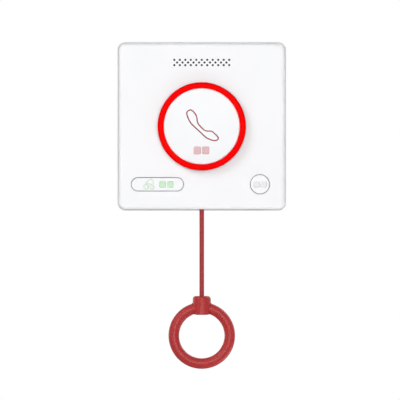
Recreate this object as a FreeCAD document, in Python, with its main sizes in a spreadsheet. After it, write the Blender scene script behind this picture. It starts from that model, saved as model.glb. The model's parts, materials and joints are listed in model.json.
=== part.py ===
import FreeCAD, Part
import math
import os
import Sketcher

# A patient call terminal that is fixed over a flush wall box: a square moulded cover with a large
# round call button inside a red light ring, a pill-shaped service button, a round cancel button,
# a perforated speaker grille, and a red pull cord with a ring handle that works a switch inside.
#
# X runs to the right and Z up. The wall is the plane Y = 0 and the front faces -Y. A depth is a
# distance in front of the wall, so a depth of d lies at Y = -d, and what is let into the wall
# has a negative depth. The origin is midway between the two wall screws, on the wall.

# Driving dimensions in millimetres, each with what it sets.
SIZES = (
    # Mounting frame against the wall
    ("panel_side", 86.0, "side of the square mounting frame"),
    ("panel_corner", 4.0, "corner radius of the mounting frame"),
    ("frame_reveal", 0.7, "width of the frame that shows around the cover"),
    ("frame_plate", 1.8, "thickness of the frame's plate"),
    ("frame_rim", 0.8, "height of the rim that the cover seats on"),
    ("lip_wall", 1.4, "thickness of the frame's four snap lips"),
    ("lip_height", 3.4, "height of the snap lips above the plate"),
    ("lip_length", 34.0, "length of each snap lip"),
    ("hook_length", 20.0, "length of the ridge on each snap lip"),
    ("hook_rise", 0.5, "how far the ridge stands out of its lip"),
    ("hook_width", 0.9, "width of the ridge"),
    ("hook_drop", 0.5, "distance from the ridge to the lip's free edge"),
    ("tub_gap", 0.6, "gap between the tub and the frame's opening"),
    ("wall_screw_spacing", 60.3, "distance between the two wall screws"),
    ("wall_slot_width", 4.4, "width of a wall screw's slot"),
    ("wall_slot_length", 6.6, "end-to-end length of a wall screw's slot"),
    # Fits
    ("fit_gap", 0.15, "gap between fixed pieces that go together"),
    ("close_gap", 0.05, "gap of a pin, screw or plunger in its hole"),
    ("touch_gap", 0.02, "gap between moving pieces that rest on each other"),
    # Cover
    ("cover_depth", 14.0, "depth of the cover's front face"),
    ("front_wall", 2.0, "thickness of the cover's front"),
    ("side_wall", 1.8, "thickness of the cover's skirt"),
    ("edge_round", 1.5, "rounding of the cover's front edge"),
    ("pry_width", 8.0, "width of the notch for prising the cover off"),
    ("pry_height", 1.2, "height of that notch"),
    ("pry_place", 27.0, "distance of that notch from the middle"),
    ("boss_radius", 2.6, "radius of the screw bosses"),
    ("boss_floor", 0.5, "solid stretch between a boss's hole and the cover's front"),
    # Rear housing
    ("flange_depth", 4.0, "depth of the back of the housing's flange"),
    ("flange_wall", 1.8, "thickness of the flange"),
    ("flange_gap", 0.65, "gap between the flange and the frame's snap lips"),
    ("boss_inset", 2.1, "distance of the cover's bosses from the flange's edges"),
    ("flange_corner", 2.0, "corner radius of the flange and of the main board"),
    ("relief_height", 14.0, "height of the flange's notches at the wall screws"),
    ("tub_side", 46.0, "outer side of the square tub that enters the wall box"),
    ("tub_corner", 3.0, "outer corner radius of the tub"),
    ("tub_wall", 1.6, "wall thickness of the tub"),
    ("tub_reach", 18.0, "how far the tub reaches behind the wall plane"),
    ("board_wall", 1.6, "thickness of the circuit boards"),
    # Housing screws
    ("screw_radius", 1.1, "radius of a housing screw"),
    ("screw_reach", 7.0, "length of a housing screw under its head"),
    ("screw_head_radius", 2.1, "radius of its head"),
    ("screw_head_height", 1.3, "height of its head"),
    ("screw_slot_width", 0.6, "width of the slot in a screw's head"),
    ("screw_slot_drop", 0.6, "depth of the slot in a screw's head"),
    ("screw_slot_overrun", 0.5, "how far a slot's cut runs past the head"),
    # Call button and its light ring
    ("call_radius", 22.5, "outer radius of the red light ring"),
    ("call_ring_width", 2.9, "width of the light ring's front"),
    ("call_rise", 4.0, "how far the light ring stands out of the cover"),
    ("ring_round", 0.9, "rounding of the light ring's outer edge"),
    ("ring_inner_round", 0.4, "rounding of the light ring's inner edge"),
    ("ring_ledge_drop", 5.1, "depth of the light ring's inner ledge under its front"),
    ("ring_skirt_wall", 1.7, "thickness of the light ring below the ledge"),
    ("ring_flange", 1.5, "width of the flange that holds the light ring in"),
    ("ring_flange_wall", 1.2, "thickness of that flange"),
    ("ring_lamp_gap", 0.4, "gap between the light ring and the lamps"),
    ("ring_foot_radius", 0.6, "radius of the light ring's three feet"),
    ("ring_foot_reach", 1.2, "how far the feet enter the main board"),
    ("lamp_count", 12, "number of lamps under the light ring"),
    ("lamp_length", 3.0, "length of a lamp"),
    ("service_lamp_length", 1.5, "length of the lamp in the service button"),
    ("lamp_width", 1.4, "width of a lamp"),
    ("lamp_height", 1.2, "height of a lamp"),
    ("call_gap", 0.2, "gap between the call cap and the light ring"),
    ("call_recess", 0.3, "how far the call cap's edge lies under the ring's front"),
    ("call_dome", 0.9, "rise of the call cap's domed face"),
    ("call_edge_round", 0.5, "rounding of the call cap's edge"),
    ("call_wall", 1.6, "wall thickness of the call cap"),
    ("call_stop", 1.0, "how far the call cap's stop flange stands out"),
    ("call_stop_wall", 1.4, "thickness of the stop flange"),
    ("call_travel", 1.2, "travel of the call cap"),
    ("call_stem_radius", 2.5, "radius of the call cap's middle stem"),
    ("guide_inset", 0.5, "gap between the call cap's guide pins and its skirt"),
    ("guide_radius", 1.2, "radius of the guide pins"),
    ("guide_reach", 2.4, "how far the guide pins pass the main board's front"),
    ("pad_gap", 0.6, "gap between the silicone return pad's foot and the guide pins"),
    ("pad_top", 1.2, "width of the pad's top"),
    ("pad_height", 5.8, "height of the return pad"),
    ("pad_foot", 0.8, "thickness of the return pad's foot"),
    ("pad_lip", 1.2, "height of the pad's top on its inner side"),
    # Push switches
    ("switch_side", 6.0, "side of a push switch"),
    ("switch_corner", 0.5, "corner radius of a push switch"),
    ("switch_leg", 0.8, "how far a switch's legs stand out"),
    ("leg_place", 2.0, "distance of the legs from the switch's middle"),
    ("leg_side", 0.75, "width and thickness of a leg"),
    ("plunger_radius", 1.7, "radius of a push switch's plunger"),
    ("plunger_seat", 0.8, "length of the plunger inside its switch"),
    ("call_switch_height", 3.5, "height of the call switch"),
    ("call_plunger_rise", 2.1, "how far the call switch's plunger stands out"),
    ("small_switch_height", 2.4, "height of a small button's switch"),
    ("small_plunger_rise", 1.0, "how far a small switch's plunger stands out"),
    # Small buttons
    ("buttons_inset", 13.4, "distance of both small buttons from the panel's lower edge"),
    ("button_gap", 0.3, "gap around the small buttons"),
    ("button_proud", 0.5, "how far the small buttons stand out of the cover"),
    ("button_round", 0.4, "rounding of their front edge"),
    ("button_wall", 1.2, "wall thickness of the small buttons"),
    ("button_flange", 0.8, "how far their flanges stand out"),
    ("button_flange_wall", 1.0, "thickness of their flanges"),
    ("button_travel", 0.5, "travel of the small buttons"),
    ("button_stem_radius", 1.5, "radius of their stems"),
    ("sleeve_wall", 0.8, "wall of the cover's sleeve around a small button"),
    ("sleeve_length", 2.6, "length of that sleeve"),
    ("service_inset", 6.95, "distance of the service button's line from the left edge"),
    ("service_end", 9.15, "distance of that line's other end from the middle"),
    ("service_width", 7.0, "width of the line around the service button"),
    ("service_lamp_inset", 6.85, "distance of its lamp from the line's left end"),
    ("cancel_inset", 13.3, "distance of the cancel button from the right edge"),
    ("cancel_radius", 5.0, "radius of the line around the cancel button"),
    # Speaker and microphone
    ("grille_inset", 10.4, "distance of the grille's middle row from the top edge"),
    ("grille_pitch", 2.8, "distance between the holes of a row"),
    ("grille_row_pitch", 1.35, "distance between the rows"),
    ("grille_hole", 0.55, "radius of a grille hole"),
    ("grille_columns", 11, "holes in each outer row, one more than in the middle row"),
    ("bay_length", 32.0, "length of the walled bay behind the grille"),
    ("bay_width", 12.8, "width of that bay"),
    ("bay_wall", 1.0, "thickness of its wall"),
    ("bay_height", 3.0, "height of its wall"),
    ("bay_corner", 1.0, "inner corner radius of the bay"),
    ("mesh_wall", 0.2, "thickness of the dust mesh"),
    ("gasket_wall", 0.8, "thickness of the foam gasket"),
    ("gasket_width", 1.2, "width of the foam gasket's band"),
    ("speaker_length", 26.0, "length of the speaker"),
    ("speaker_height", 2.8, "height of the speaker's basket"),
    ("speaker_wall", 0.8, "wall of the basket"),
    ("cone_step", 0.6, "width and depth of the basket's seat for the cone"),
    ("cone_wall", 0.3, "thickness of the cone"),
    ("cone_dome", 0.5, "rise of the cone's middle"),
    ("coil_wall", 0.6, "thickness of the voice coil"),
    ("coil_reach", 1.0, "length of the voice coil"),
    ("coil_gap", 0.35, "gap between the coil and the magnet"),
    ("magnet_length", 14.0, "length of the magnet"),
    ("magnet_width", 4.6, "width of the magnet"),
    ("magnet_height", 2.6, "height of the magnet"),
    ("contact_side", 1.4, "width of the speaker's spring contacts"),
    ("contact_length", 2.8, "height of the contacts on the panel"),
    ("contact_place", 9.6, "distance of the contacts from the speaker's middle"),
    ("mic_radius", 1.6, "radius of the microphone"),
    ("mic_height", 2.6, "height of the microphone"),
    ("boot_wall", 0.5, "wall of the microphone's rubber boot"),
    ("boot_hole", 0.6, "radius of the boot's sound hole"),
    # Pull cord, its slider and its switch
    ("cord_radius", 1.15, "radius of the pull cord"),
    ("cord_depth", 8.9, "depth of the pull cord"),
    ("cord_drop", 43.6, "length of cord between the frame and the handle"),
    ("cord_bend", 2.2, "distance from the cover to where the cord bends"),
    ("cord_gap", 0.1, "gap between the cord and what it runs through"),
    ("knot_radius", 2.1, "radius of the knots on the cord"),
    ("bush_radius", 2.1, "outer radius of the cord bush"),
    ("bush_flange", 3.0, "radius of the cord bush's flange"),
    ("bush_flange_wall", 1.0, "thickness of that flange"),
    ("bush_mouth", 0.5, "flare of the cord bush's two mouths"),
    ("slider_width", 9.0, "width of the pull slider"),
    ("slider_height", 7.0, "height of the pull slider"),
    ("slider_gap", 0.2, "gap around the pull slider"),
    ("knot_pocket", 4.4, "depth of the slider's pocket for the knot"),
    ("knot_gap", 0.2, "gap between a knot and its pocket"),
    ("ramp_foot", 0.5, "height of the slider's ramp above its lower face"),
    ("ramp_run", 6.0, "length of the ramp"),
    ("ramp_slope", 0.2, "sideways rise of the ramp for each millimetre"),
    ("ramp_depth", 8.8, "depth at which the ramp begins"),
    ("ramp_start", 1.0, "place on the ramp where the plunger rests"),
    ("pull_travel", 4.0, "travel of the pull slider"),
    ("spring_length", 6.6, "length of the return spring at rest"),
    ("spring_radius", 2.2, "mean radius of the return spring"),
    ("spring_wire", 0.25, "radius of its wire"),
    ("spring_turns", 4, "number of its turns"),
    ("spring_seat", 0.8, "depth of the slider's seat for the spring"),
    ("rail_wall", 1.2, "thickness of the slider's guide rails"),
    ("rail_height", 2.9, "height of the guide rails"),
    ("rail_length", 12.5, "length of the guide rails"),
    ("board_notch_gap", 0.5, "gap between a guide rail and the main board"),
    ("board_notch_height", 14.0, "height of the main board's notch for the slider"),
    ("pull_switch_place", 7.6, "sideways place of the pull switch's near face"),
    ("pull_switch_length", 8.0, "length of the pull switch"),
    ("pull_switch_width", 6.0, "width of the pull switch"),
    ("pull_switch_height", 4.2, "height of the pull switch"),
    ("pull_plunger_depth", 9.8, "depth of the pull switch's plunger"),
    ("pull_plunger_radius", 0.8, "radius of the pull switch's plunger"),
    ("pull_plunger_seat", 1.5, "length of that plunger inside its switch"),
    # Ring handle
    ("handle_radius", 17.0, "outer radius of the ring handle"),
    ("handle_tube", 2.7, "radius of the ring's section"),
    ("neck_radius", 4.7, "radius of the handle's neck at its foot"),
    ("neck_top_radius", 4.6, "radius of the neck at its top"),
    ("neck_rise", 20.2, "distance from the ring's centre to the neck's top"),
    ("neck_foot", 10.4, "distance from the ring's centre to the neck's foot"),
    ("neck_foot_dome", 0.6, "rise of the neck's foot from its middle to its edge"),
    ("neck_top_round", 1.5, "rounding of the neck's top edge"),
    ("strut_radius", 1.9, "radius of the struts between the neck and the ring"),
    ("strut_drop", 3.1, "distance from the neck's top down to a strut's upper end"),
    ("strut_head", 1.6, "sideways place of a strut's upper end"),
    ("strut_foot", 5.7, "sideways place of a strut's lower end, in the ring"),
    # Bus electronics in the tub
    ("bus_board_gap", 1.4, "gap between the bus board and the tub"),
    ("bus_board_back", -14.0, "depth of the bus board's back"),
    ("post_inset", 3.5, "distance of the bus board's posts from its edges"),
    ("post_radius", 2.2, "radius of those posts"),
    ("bus_screw_radius", 0.9, "radius of a bus board screw"),
    ("bus_screw_head", 1.8, "radius of its head"),
    ("bus_screw_head_height", 1.0, "height of its head"),
    ("bus_screw_reach", 3.4, "length of a bus board screw under its head"),
    ("pole_count", 4, "number of poles of the bus terminal"),
    ("pole_pitch", 5.08, "distance between the poles"),
    ("terminal_width", 9.2, "height of the bus terminal block on the panel"),
    ("terminal_reach", 8.0, "how far the block stands out of the tub"),
    ("window_gap", 0.4, "gap between the block and the tub's window"),
    ("wire_radius", 1.4, "radius of a wire entry"),
    ("wire_depth", 7.0, "depth of a wire entry"),
    ("wire_place", 3.4, "distance from the block's back to a wire entry's axis"),
    ("clamp_radius", 1.5, "radius of a clamping screw"),
    ("clamp_height", 1.6, "height of a clamping screw's head"),
    ("clamp_recess", 0.3, "how far a clamping screw lies inside its well"),
    ("capacitor_radius", 3.1, "radius of a capacitor"),
    ("capacitor_height", 9.0, "height of a capacitor"),
    ("capacitor_round", 0.5, "rounding of a capacitor's top edge"),
    ("capacitor_spread", 9.0, "distance of the capacitors from the middle"),
    ("capacitor_inset", 9.0, "distance of the capacitors from the bus board's lower edge"),
    ("link_pins", 8, "number of pins between the two boards"),
    ("link_pitch", 2.54, "distance between those pins"),
    ("link_pin", 0.64, "side of a pin"),
    ("link_width", 2.5, "width and height of the pins' holders"),
    ("link_inset", 5.0, "distance of the pins from the bus board's upper edge"),
    ("processor_side", 10.0, "side of the processor"),
    ("processor_height", 1.4, "height of the processor"),
    ("amplifier_length", 5.0, "length of the audio amplifier"),
    ("amplifier_width", 4.0, "width of the audio amplifier"),
    ("amplifier_place", 12.0, "distance of the audio amplifier from the middle"),
)

document = FreeCAD.newDocument("call_terminal")


class Size:
    """A length together with the sheet expression that it comes from."""

    def __init__(self, value, text):
        self.value = value
        self.text = text

    def join(self, sign, other, value):
        return Size(value, f"({self.text} {sign} {other.text})")

    def __add__(self, other):
        other = as_size(other)
        return self.join("+", other, self.value + other.value)

    def __sub__(self, other):
        other = as_size(other)
        return self.join("-", other, self.value - other.value)

    def __mul__(self, other):
        other = as_size(other)
        return self.join("*", other, self.value * other.value)

    def __truediv__(self, other):
        other = as_size(other)
        return self.join("/", other, self.value / other.value)

    def __radd__(self, other):
        return as_size(other) + self

    def __rsub__(self, other):
        return as_size(other) - self

    def __rmul__(self, other):
        return as_size(other) * self

    def __neg__(self):
        return as_size(0) - self


def as_size(number):
    if isinstance(number, Size):
        return number
    return Size(float(number), repr(float(number)))


def root(size):
    return Size(math.sqrt(size.value), f"sqrt({size.text})")


class Sheet:
    """The spreadsheet of driving dimensions, each read as an attribute."""

    def __init__(self, rows):
        self.cells = document.addObject("Spreadsheet::Sheet", "Sizes")
        for number, (alias, value, meaning) in enumerate(rows, start=1):
            self.cells.set(f"A{number}", alias)
            self.cells.set(f"B{number}", str(value))
            self.cells.set(f"C{number}", meaning)
            self.cells.setAlias(f"B{number}", alias)
        document.recompute()

    def __getattr__(self, alias):
        return Size(float(getattr(self.cells, alias)), f"Sizes.{alias}")


size = Sheet(SIZES)
ZERO = as_size(0)
EDGE_TOLERANCE = 0.001


# Sketches and features

def bind(thing, name, length):
    thing.setExpression(name, length.text)


def new_body(name, x=ZERO, depth=ZERO, z=ZERO):
    """A body whose own origin lies at this place on the panel."""
    body = document.addObject("PartDesign::Body", name)
    body.Label = name
    body.AllowCompound = True
    bind(body, "Placement.Base.x", x)
    bind(body, "Placement.Base.y", -depth)
    bind(body, "Placement.Base.z", z)
    return body


def new_sketch(body, plane, offset=ZERO):
    """A sketch on an origin plane. On XZ_Plane its offset is a depth and it faces the viewer."""
    sketch = body.newObject("Sketcher::SketchObject", f"{body.Name}_sketch")
    found = [feature for feature in body.Origin.OriginFeatures if feature.Role == plane]
    sketch.AttachmentSupport = [(found[0], "")]
    sketch.MapMode = "FlatFace"
    sketch.AttachmentOffset = FreeCAD.Placement(
        FreeCAD.Vector(0, 0, offset.value), FreeCAD.Rotation()
    )
    bind(sketch, "AttachmentOffset.Base.z", offset)
    return sketch


def front_sketch(body, depth):
    return new_sketch(body, "XZ_Plane", depth)


def constrain(sketch, length, *terms):
    number = sketch.addConstraint(Sketcher.Constraint(*terms, length.value))
    sketch.setExpression(f"Constraints[{number}]", length.text)


def fix_point(sketch, geometry, point, x, y):
    constrain(sketch, x, "DistanceX", -1, 1, geometry, point)
    constrain(sketch, y, "DistanceY", -1, 1, geometry, point)


def vector(x, y):
    return FreeCAD.Vector(x.value, y.value, 0)


def circle(sketch, x, y, radius):
    shape = Part.Circle(vector(x, y), FreeCAD.Vector(0, 0, 1), radius.value)
    number = sketch.addGeometry(shape, False)
    constrain(sketch, radius, "Radius", number)
    fix_point(sketch, number, 3, x, y)


def arc_between(start, end, radius):
    """The short arc between two points; a negative radius bulges to the right of the way."""
    first = vector(*start)
    last = vector(*end)
    chord = last - first
    across = FreeCAD.Vector(-chord.y, chord.x, 0)
    across.normalize()
    bulge = math.copysign(1, radius.value)
    reach = abs(radius.value)
    rise = math.sqrt(reach**2 - (chord.Length / 2) ** 2)
    middle = (first + last) / 2 + across * bulge * (reach - rise)
    return Part.Arc(first, middle, last)


def outline(sketch, points, arcs=None):
    """A closed outline through fixed points; arcs gives the radius of a side that is round."""
    arcs = arcs or {}
    numbers = []
    for place, start in enumerate(points):
        end = points[(place + 1) % len(points)]
        if place in arcs:
            side = arc_between(start, end, arcs[place])
        else:
            side = Part.LineSegment(vector(*start), vector(*end))
        numbers.append(sketch.addGeometry(side, False))
    for place, number in enumerate(numbers):
        start_point = point_at(sketch, number, points[place])
        before = numbers[place - 1]
        before_point = point_at(sketch, before, points[place])
        fix_point(sketch, number, start_point, *points[place])
        sketch.addConstraint(
            Sketcher.Constraint("Coincident", before, before_point, number, start_point)
        )
        if place in arcs:
            radius = arcs[place]
            constrain(sketch, radius if radius.value > 0 else -radius, "Radius", number)


def point_at(sketch, number, place):
    """Which end of a side lies at this place: 1 for its start and 2 for its end."""
    start = sketch.getPoint(number, 1)
    end = sketch.getPoint(number, 2)
    here = vector(*place)
    return 1 if (start - here).Length < (end - here).Length else 2


def rectangle(sketch, x, y, width, height):
    left = x - width / 2
    right = x + width / 2
    low = y - height / 2
    high = y + height / 2
    outline(sketch, [(left, low), (right, low), (right, high), (left, high)])


def rounded_rectangle(sketch, x, y, width, height, corner):
    left = x - width / 2
    right = x + width / 2
    low = y - height / 2
    high = y + height / 2
    points = [
        (left + corner, low),
        (right - corner, low),
        (right, low + corner),
        (right, high - corner),
        (right - corner, high),
        (left + corner, high),
        (left, high - corner),
        (left, low + corner),
    ]
    outline(sketch, points, {1: -corner, 3: -corner, 5: -corner, 7: -corner})


def stadium(sketch, x, y, length, width):
    """Two half circles joined by straight sides, each half circle drawn as two quarters."""
    radius = width / 2
    left = x - length / 2
    right = x + length / 2
    low = y - radius
    high = y + radius
    points = [
        (left + radius, low),
        (right - radius, low),
        (right, y),
        (right - radius, high),
        (left + radius, high),
        (left, y),
    ]
    outline(sketch, points, {1: -radius, 2: -radius, 4: -radius, 5: -radius})


def feature(body, kind, sketch, **lengths):
    made = body.newObject(f"PartDesign::{kind}", f"{body.Name}_{kind.lower()}")
    made.Profile = sketch
    for name, length in lengths.items():
        bind(made, name, length)
    sketch.Visibility = False
    return made


def pad(body, sketch, length):
    return feature(body, "Pad", sketch, Length=length)


def pocket(body, sketch, length):
    """Cuts from the sketch against the way it faces, which is towards the wall."""
    return feature(body, "Pocket", sketch, Length=length)


def revolve(body, sketch):
    turned = feature(body, "Revolution", sketch)
    turned.ReferenceAxis = (sketch, ["V_Axis"])
    turned.Angle = 360
    return turned


def turned_about_depth(body, points, arcs=None):
    """A body of revolution about the line of sight, from points of radius and depth."""
    sketch = new_sketch(body, "XY_Plane")
    outline(sketch, [(radius, -depth) for radius, depth in points], arcs)
    return revolve(body, sketch)


def turned_upright(body, points, arcs=None):
    """A body of revolution about its own upright axis, from points of radius and height."""
    sketch = new_sketch(body, "XZ_Plane")
    outline(sketch, points, arcs)
    return revolve(body, sketch)


def round_pattern(body, original, count, angle=360):
    pattern = body.newObject("PartDesign::PolarPattern", f"{body.Name}_around")
    pattern.Originals = [original]
    pattern.Axis = (body_axis(body, "Y_Axis"), [""])
    pattern.Angle = angle
    bind(pattern, "Occurrences", as_size(count))
    body.Tip = pattern
    return pattern


def row_pattern(body, original, length, count):
    pattern = body.newObject("PartDesign::LinearPattern", f"{body.Name}_row")
    pattern.Originals = [original]
    pattern.Direction = (body_axis(body, "X_Axis"), [""])
    bind(pattern, "Length", length)
    bind(pattern, "Occurrences", count)
    body.Tip = pattern
    return pattern


def body_axis(body, role):
    found = [feature for feature in body.Origin.OriginFeatures if feature.Role == role]
    return found[0]


def round_edges(body, base, radius, chosen):
    """Rounds the edges of a feature for which chosen says yes."""
    document.recompute()
    edges = base.Shape.Edges
    names = [f"Edge{number}" for number, edge in enumerate(edges, 1) if chosen(edge)]
    fillet = body.newObject("PartDesign::Fillet", f"{body.Name}_round")
    fillet.Base = (base, names)
    bind(fillet, "Radius", radius)
    return fillet


def lies_at_depth(edge, depth):
    box = edge.BoundBox
    nearest = abs(box.YMin + depth.value)
    furthest = abs(box.YMax + depth.value)
    return nearest < EDGE_TOLERANCE and furthest < EDGE_TOLERANCE


def bow_radius(half_chord, rise):
    """The radius of an arc over this half chord with this rise."""
    return (half_chord * half_chord + rise * rise) / (rise * 2)


def four_corners(place):
    return [(x, z) for x in (-place, place) for z in (-place, place)]


# Levels and outlines that several pieces share

rim_depth = size.frame_plate + size.frame_rim
cover_side = size.panel_side - size.frame_reveal * 2
cover_half = cover_side / 2
cover_corner = size.panel_corner - size.frame_reveal
cavity_side = cover_side - size.side_wall * 2
cavity_half = cavity_side / 2
cavity_corner = cover_corner - size.side_wall
cavity_depth = size.cover_depth - size.front_wall
flange_front = size.flange_depth + size.flange_wall
board_front = flange_front + size.board_wall
tub_inside = size.tub_side - size.tub_wall * 2
tub_floor = -size.tub_reach + size.tub_wall
lip_depth = size.frame_plate + size.lip_height
lip_face = cavity_half - size.fit_gap
flange_half = lip_face - size.lip_wall - size.flange_gap
flange_side = flange_half * 2
boss_place = flange_half - size.boss_inset
hook_front = lip_depth - size.hook_drop
screw_hole = size.screw_radius + size.fit_gap
wall_screw_place = size.wall_screw_spacing / 2

ring_front = size.cover_depth + size.call_rise
ring_inner = size.call_radius - size.call_ring_width
ring_ledge = ring_front - size.ring_ledge_drop
ring_skirt_inner = size.call_radius - size.ring_skirt_wall
ring_foot_place = size.call_radius - size.ring_skirt_wall / 2
lamp_front = board_front + size.lamp_height
ring_back = lamp_front + size.ring_lamp_gap
cap_radius = ring_inner - size.call_gap
cap_edge = ring_front - size.call_recess
cap_inside = cap_edge - size.call_wall
guide_hole = size.guide_radius + size.fit_gap
guide_place = cap_radius - size.call_wall - size.guide_inset - size.guide_radius
pad_wall = size.pad_top / 2
pad_foot_outer = guide_place - size.guide_radius - size.pad_gap
pad_foot_inner = pad_foot_outer - pad_wall * 2
pad_radius = pad_foot_inner - pad_wall / 2
pad_front = board_front + size.pad_height

call_switch_front = board_front + size.call_switch_height
call_plunger_front = call_switch_front + size.call_plunger_rise
small_switch_front = board_front + size.small_switch_height
small_plunger_front = small_switch_front + size.small_plunger_rise
panel_half = size.panel_side / 2
buttons_height = size.buttons_inset - panel_half
service_left = size.service_inset - panel_half
service_length = -size.service_end - service_left
service_place = service_left + service_length / 2
cancel_place = panel_half - size.cancel_inset
button_front = size.cover_depth + size.button_proud
button_stop = cavity_depth - size.touch_gap
button_back = button_stop - size.button_flange_wall
button_inside = button_front - size.button_wall

grille_place = panel_half - size.grille_inset
mesh_back = cavity_depth - size.mesh_wall
gasket_back = mesh_back - size.gasket_wall
speaker_back = gasket_back - size.speaker_height
speaker_width = size.bay_width - size.fit_gap * 2
speaker_place = size.speaker_length / 2 + size.fit_gap - size.bay_length / 2
boot_radius = size.mic_radius + size.close_gap + size.boot_wall
mic_place = size.bay_length / 2 - size.fit_gap - boot_radius

bush_top = -cavity_half + size.bush_flange_wall
cord_hole = size.cord_radius + size.cord_gap
slider_back = flange_front + size.slider_gap
slider_front = cavity_depth - size.slider_gap
slider_foot = bush_top + size.spring_length - size.spring_seat
slider_top = slider_foot + size.slider_height
slider_half = size.slider_width / 2
knot_floor = slider_top - size.knot_pocket
knot_seat = root(size.knot_radius * size.knot_radius - size.cord_radius * size.cord_radius)
bend_height = -cover_half - size.cord_bend
rail_place = slider_half + size.slider_gap + size.rail_wall / 2
plunger_height = slider_foot + size.ramp_foot + size.ramp_start
pull_plunger_travel = size.pull_travel * size.ramp_slope

handle_mid = size.handle_radius - size.handle_tube
neck_top = -panel_half - size.cord_drop
handle_centre = neck_top - size.neck_rise
neck_pocket = size.knot_radius + size.knot_gap
neck_knot_roof = size.neck_foot + size.knot_pocket

bus_board_side = tub_inside - size.bus_board_gap * 2
bus_board_half = bus_board_side / 2
post_place = bus_board_half - size.post_inset
link_place = bus_board_half - size.link_inset
capacitor_place = size.capacitor_inset - bus_board_half
bus_board_front = size.bus_board_back + size.board_wall
terminal_back = -size.tub_reach - size.terminal_reach
terminal_length = size.pole_pitch * size.pole_count
link_length = size.link_pitch * size.link_pins


# The shells

def mounting_frame():
    """The flat frame that the two wall screws hold, with four lips that the cover snaps onto."""
    body = new_body("mounting_frame")
    plate = front_sketch(body, ZERO)
    rounded_rectangle(plate, ZERO, ZERO, size.panel_side, size.panel_side, size.panel_corner)
    opening = size.tub_side + size.tub_gap * 2
    rounded_rectangle(plate, ZERO, ZERO, opening, opening, size.tub_corner + size.tub_gap)
    for x in (-wall_screw_place, wall_screw_place):
        stadium(plate, x, ZERO, size.wall_slot_length, size.wall_slot_width)
    pad(body, plate, size.frame_plate)
    rim = front_sketch(body, size.frame_plate)
    rounded_rectangle(rim, ZERO, ZERO, size.panel_side, size.panel_side, size.panel_corner)
    rounded_rectangle(rim, ZERO, ZERO, cavity_side, cavity_side, cavity_corner)
    pad(body, rim, size.frame_rim)
    lips = front_sketch(body, size.frame_plate)
    four_strips(lips, lip_face - size.lip_wall / 2, size.lip_wall, size.lip_length)
    pad(body, lips, size.lip_height)
    hooks = front_sketch(body, hook_front - size.hook_width)
    four_strips(hooks, lip_face + size.hook_rise / 2, size.hook_rise, size.hook_length)
    pad(body, hooks, size.hook_width)
    return body


def four_strips(sketch, place, width, length):
    """A strip along each side of the panel, at this distance from its middle."""
    for sign in (-1, 1):
        rectangle(sketch, ZERO, place * sign, length, width)
        rectangle(sketch, place * sign, ZERO, width, length)


def front_cover():
    """The moulded cover, with bosses, sleeves, speaker bay, grille and snap grooves."""
    body = new_body("front_cover")
    block = front_sketch(body, rim_depth)
    rounded_rectangle(block, ZERO, ZERO, cover_side, cover_side, cover_corner)
    solid = pad(body, block, size.cover_depth - rim_depth)

    def is_front_edge(edge):
        return lies_at_depth(edge, size.cover_depth)

    round_edges(body, solid, size.edge_round, is_front_edge)
    cavity = front_sketch(body, cavity_depth)
    rounded_rectangle(cavity, ZERO, ZERO, cavity_side, cavity_side, cavity_corner)
    pocket(body, cavity, cavity_depth - rim_depth)
    cover_bosses(body)
    cover_sleeves(body)
    cover_speaker_bay(body)
    cover_openings(body)
    cover_grille(body)
    cover_edge_details(body)
    return body


def cover_bosses(body):
    bosses = front_sketch(body, board_front)
    for x, z in four_corners(boss_place):
        circle(bosses, x, z, size.boss_radius)
    pad(body, bosses, cavity_depth - board_front)
    holes = front_sketch(body, cavity_depth - size.boss_floor)
    for x, z in four_corners(boss_place):
        circle(holes, x, z, size.screw_radius + size.close_gap)
    pocket(body, holes, cavity_depth - size.boss_floor - board_front)


def cover_sleeves(body):
    """Short sleeves that guide the flanges of the two small buttons."""
    inner = size.button_flange + size.button_gap
    outer = inner + size.sleeve_wall
    sleeves = front_sketch(body, cavity_depth - size.sleeve_length)
    for grow in (inner, outer):
        service_outline(sleeves, service_place, buttons_height, grow)
        cancel_outline(sleeves, cancel_place, buttons_height, grow)
    pad(body, sleeves, size.sleeve_length)


def service_outline(sketch, x, z, grow):
    """The service button's outline about this place, grown all round by this much."""
    length = service_length - size.button_gap + grow * 2
    width = size.service_width - size.button_gap + grow * 2
    stadium(sketch, x, z, length, width)


def cancel_outline(sketch, x, z, grow):
    """The cancel button's outline about this place, grown all round by this much."""
    circle(sketch, x, z, size.cancel_radius - size.button_gap / 2 + grow)


def cover_speaker_bay(body):
    bay = front_sketch(body, cavity_depth - size.bay_height)
    for grow in (ZERO, size.bay_wall):
        rounded_rectangle(
            bay,
            ZERO,
            grille_place,
            size.bay_length + grow * 2,
            size.bay_width + grow * 2,
            size.bay_corner + grow,
        )
    pad(body, bay, size.bay_height)


def cover_openings(body):
    openings = front_sketch(body, size.cover_depth)
    circle(openings, ZERO, ZERO, size.call_radius + size.close_gap)
    service_outline(openings, service_place, buttons_height, size.button_gap)
    cancel_outline(openings, cancel_place, buttons_height, size.button_gap)
    pocket(body, openings, size.front_wall)


def cover_grille(body):
    """Three rows of round holes, the middle row shifted by half a pitch."""
    columns = size.grille_columns
    span = size.grille_pitch * (columns - 1)
    outer = front_sketch(body, size.cover_depth)
    for side in (-1, 1):
        height = grille_place + size.grille_row_pitch * side
        circle(outer, -span / 2, height, size.grille_hole)
    row_pattern(body, pocket(body, outer, size.front_wall), span, columns)
    inner_span = span - size.grille_pitch
    inner = front_sketch(body, size.cover_depth)
    circle(inner, -inner_span / 2, grille_place, size.grille_hole)
    row_pattern(body, pocket(body, inner, size.front_wall), inner_span, columns - 1)


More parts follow.
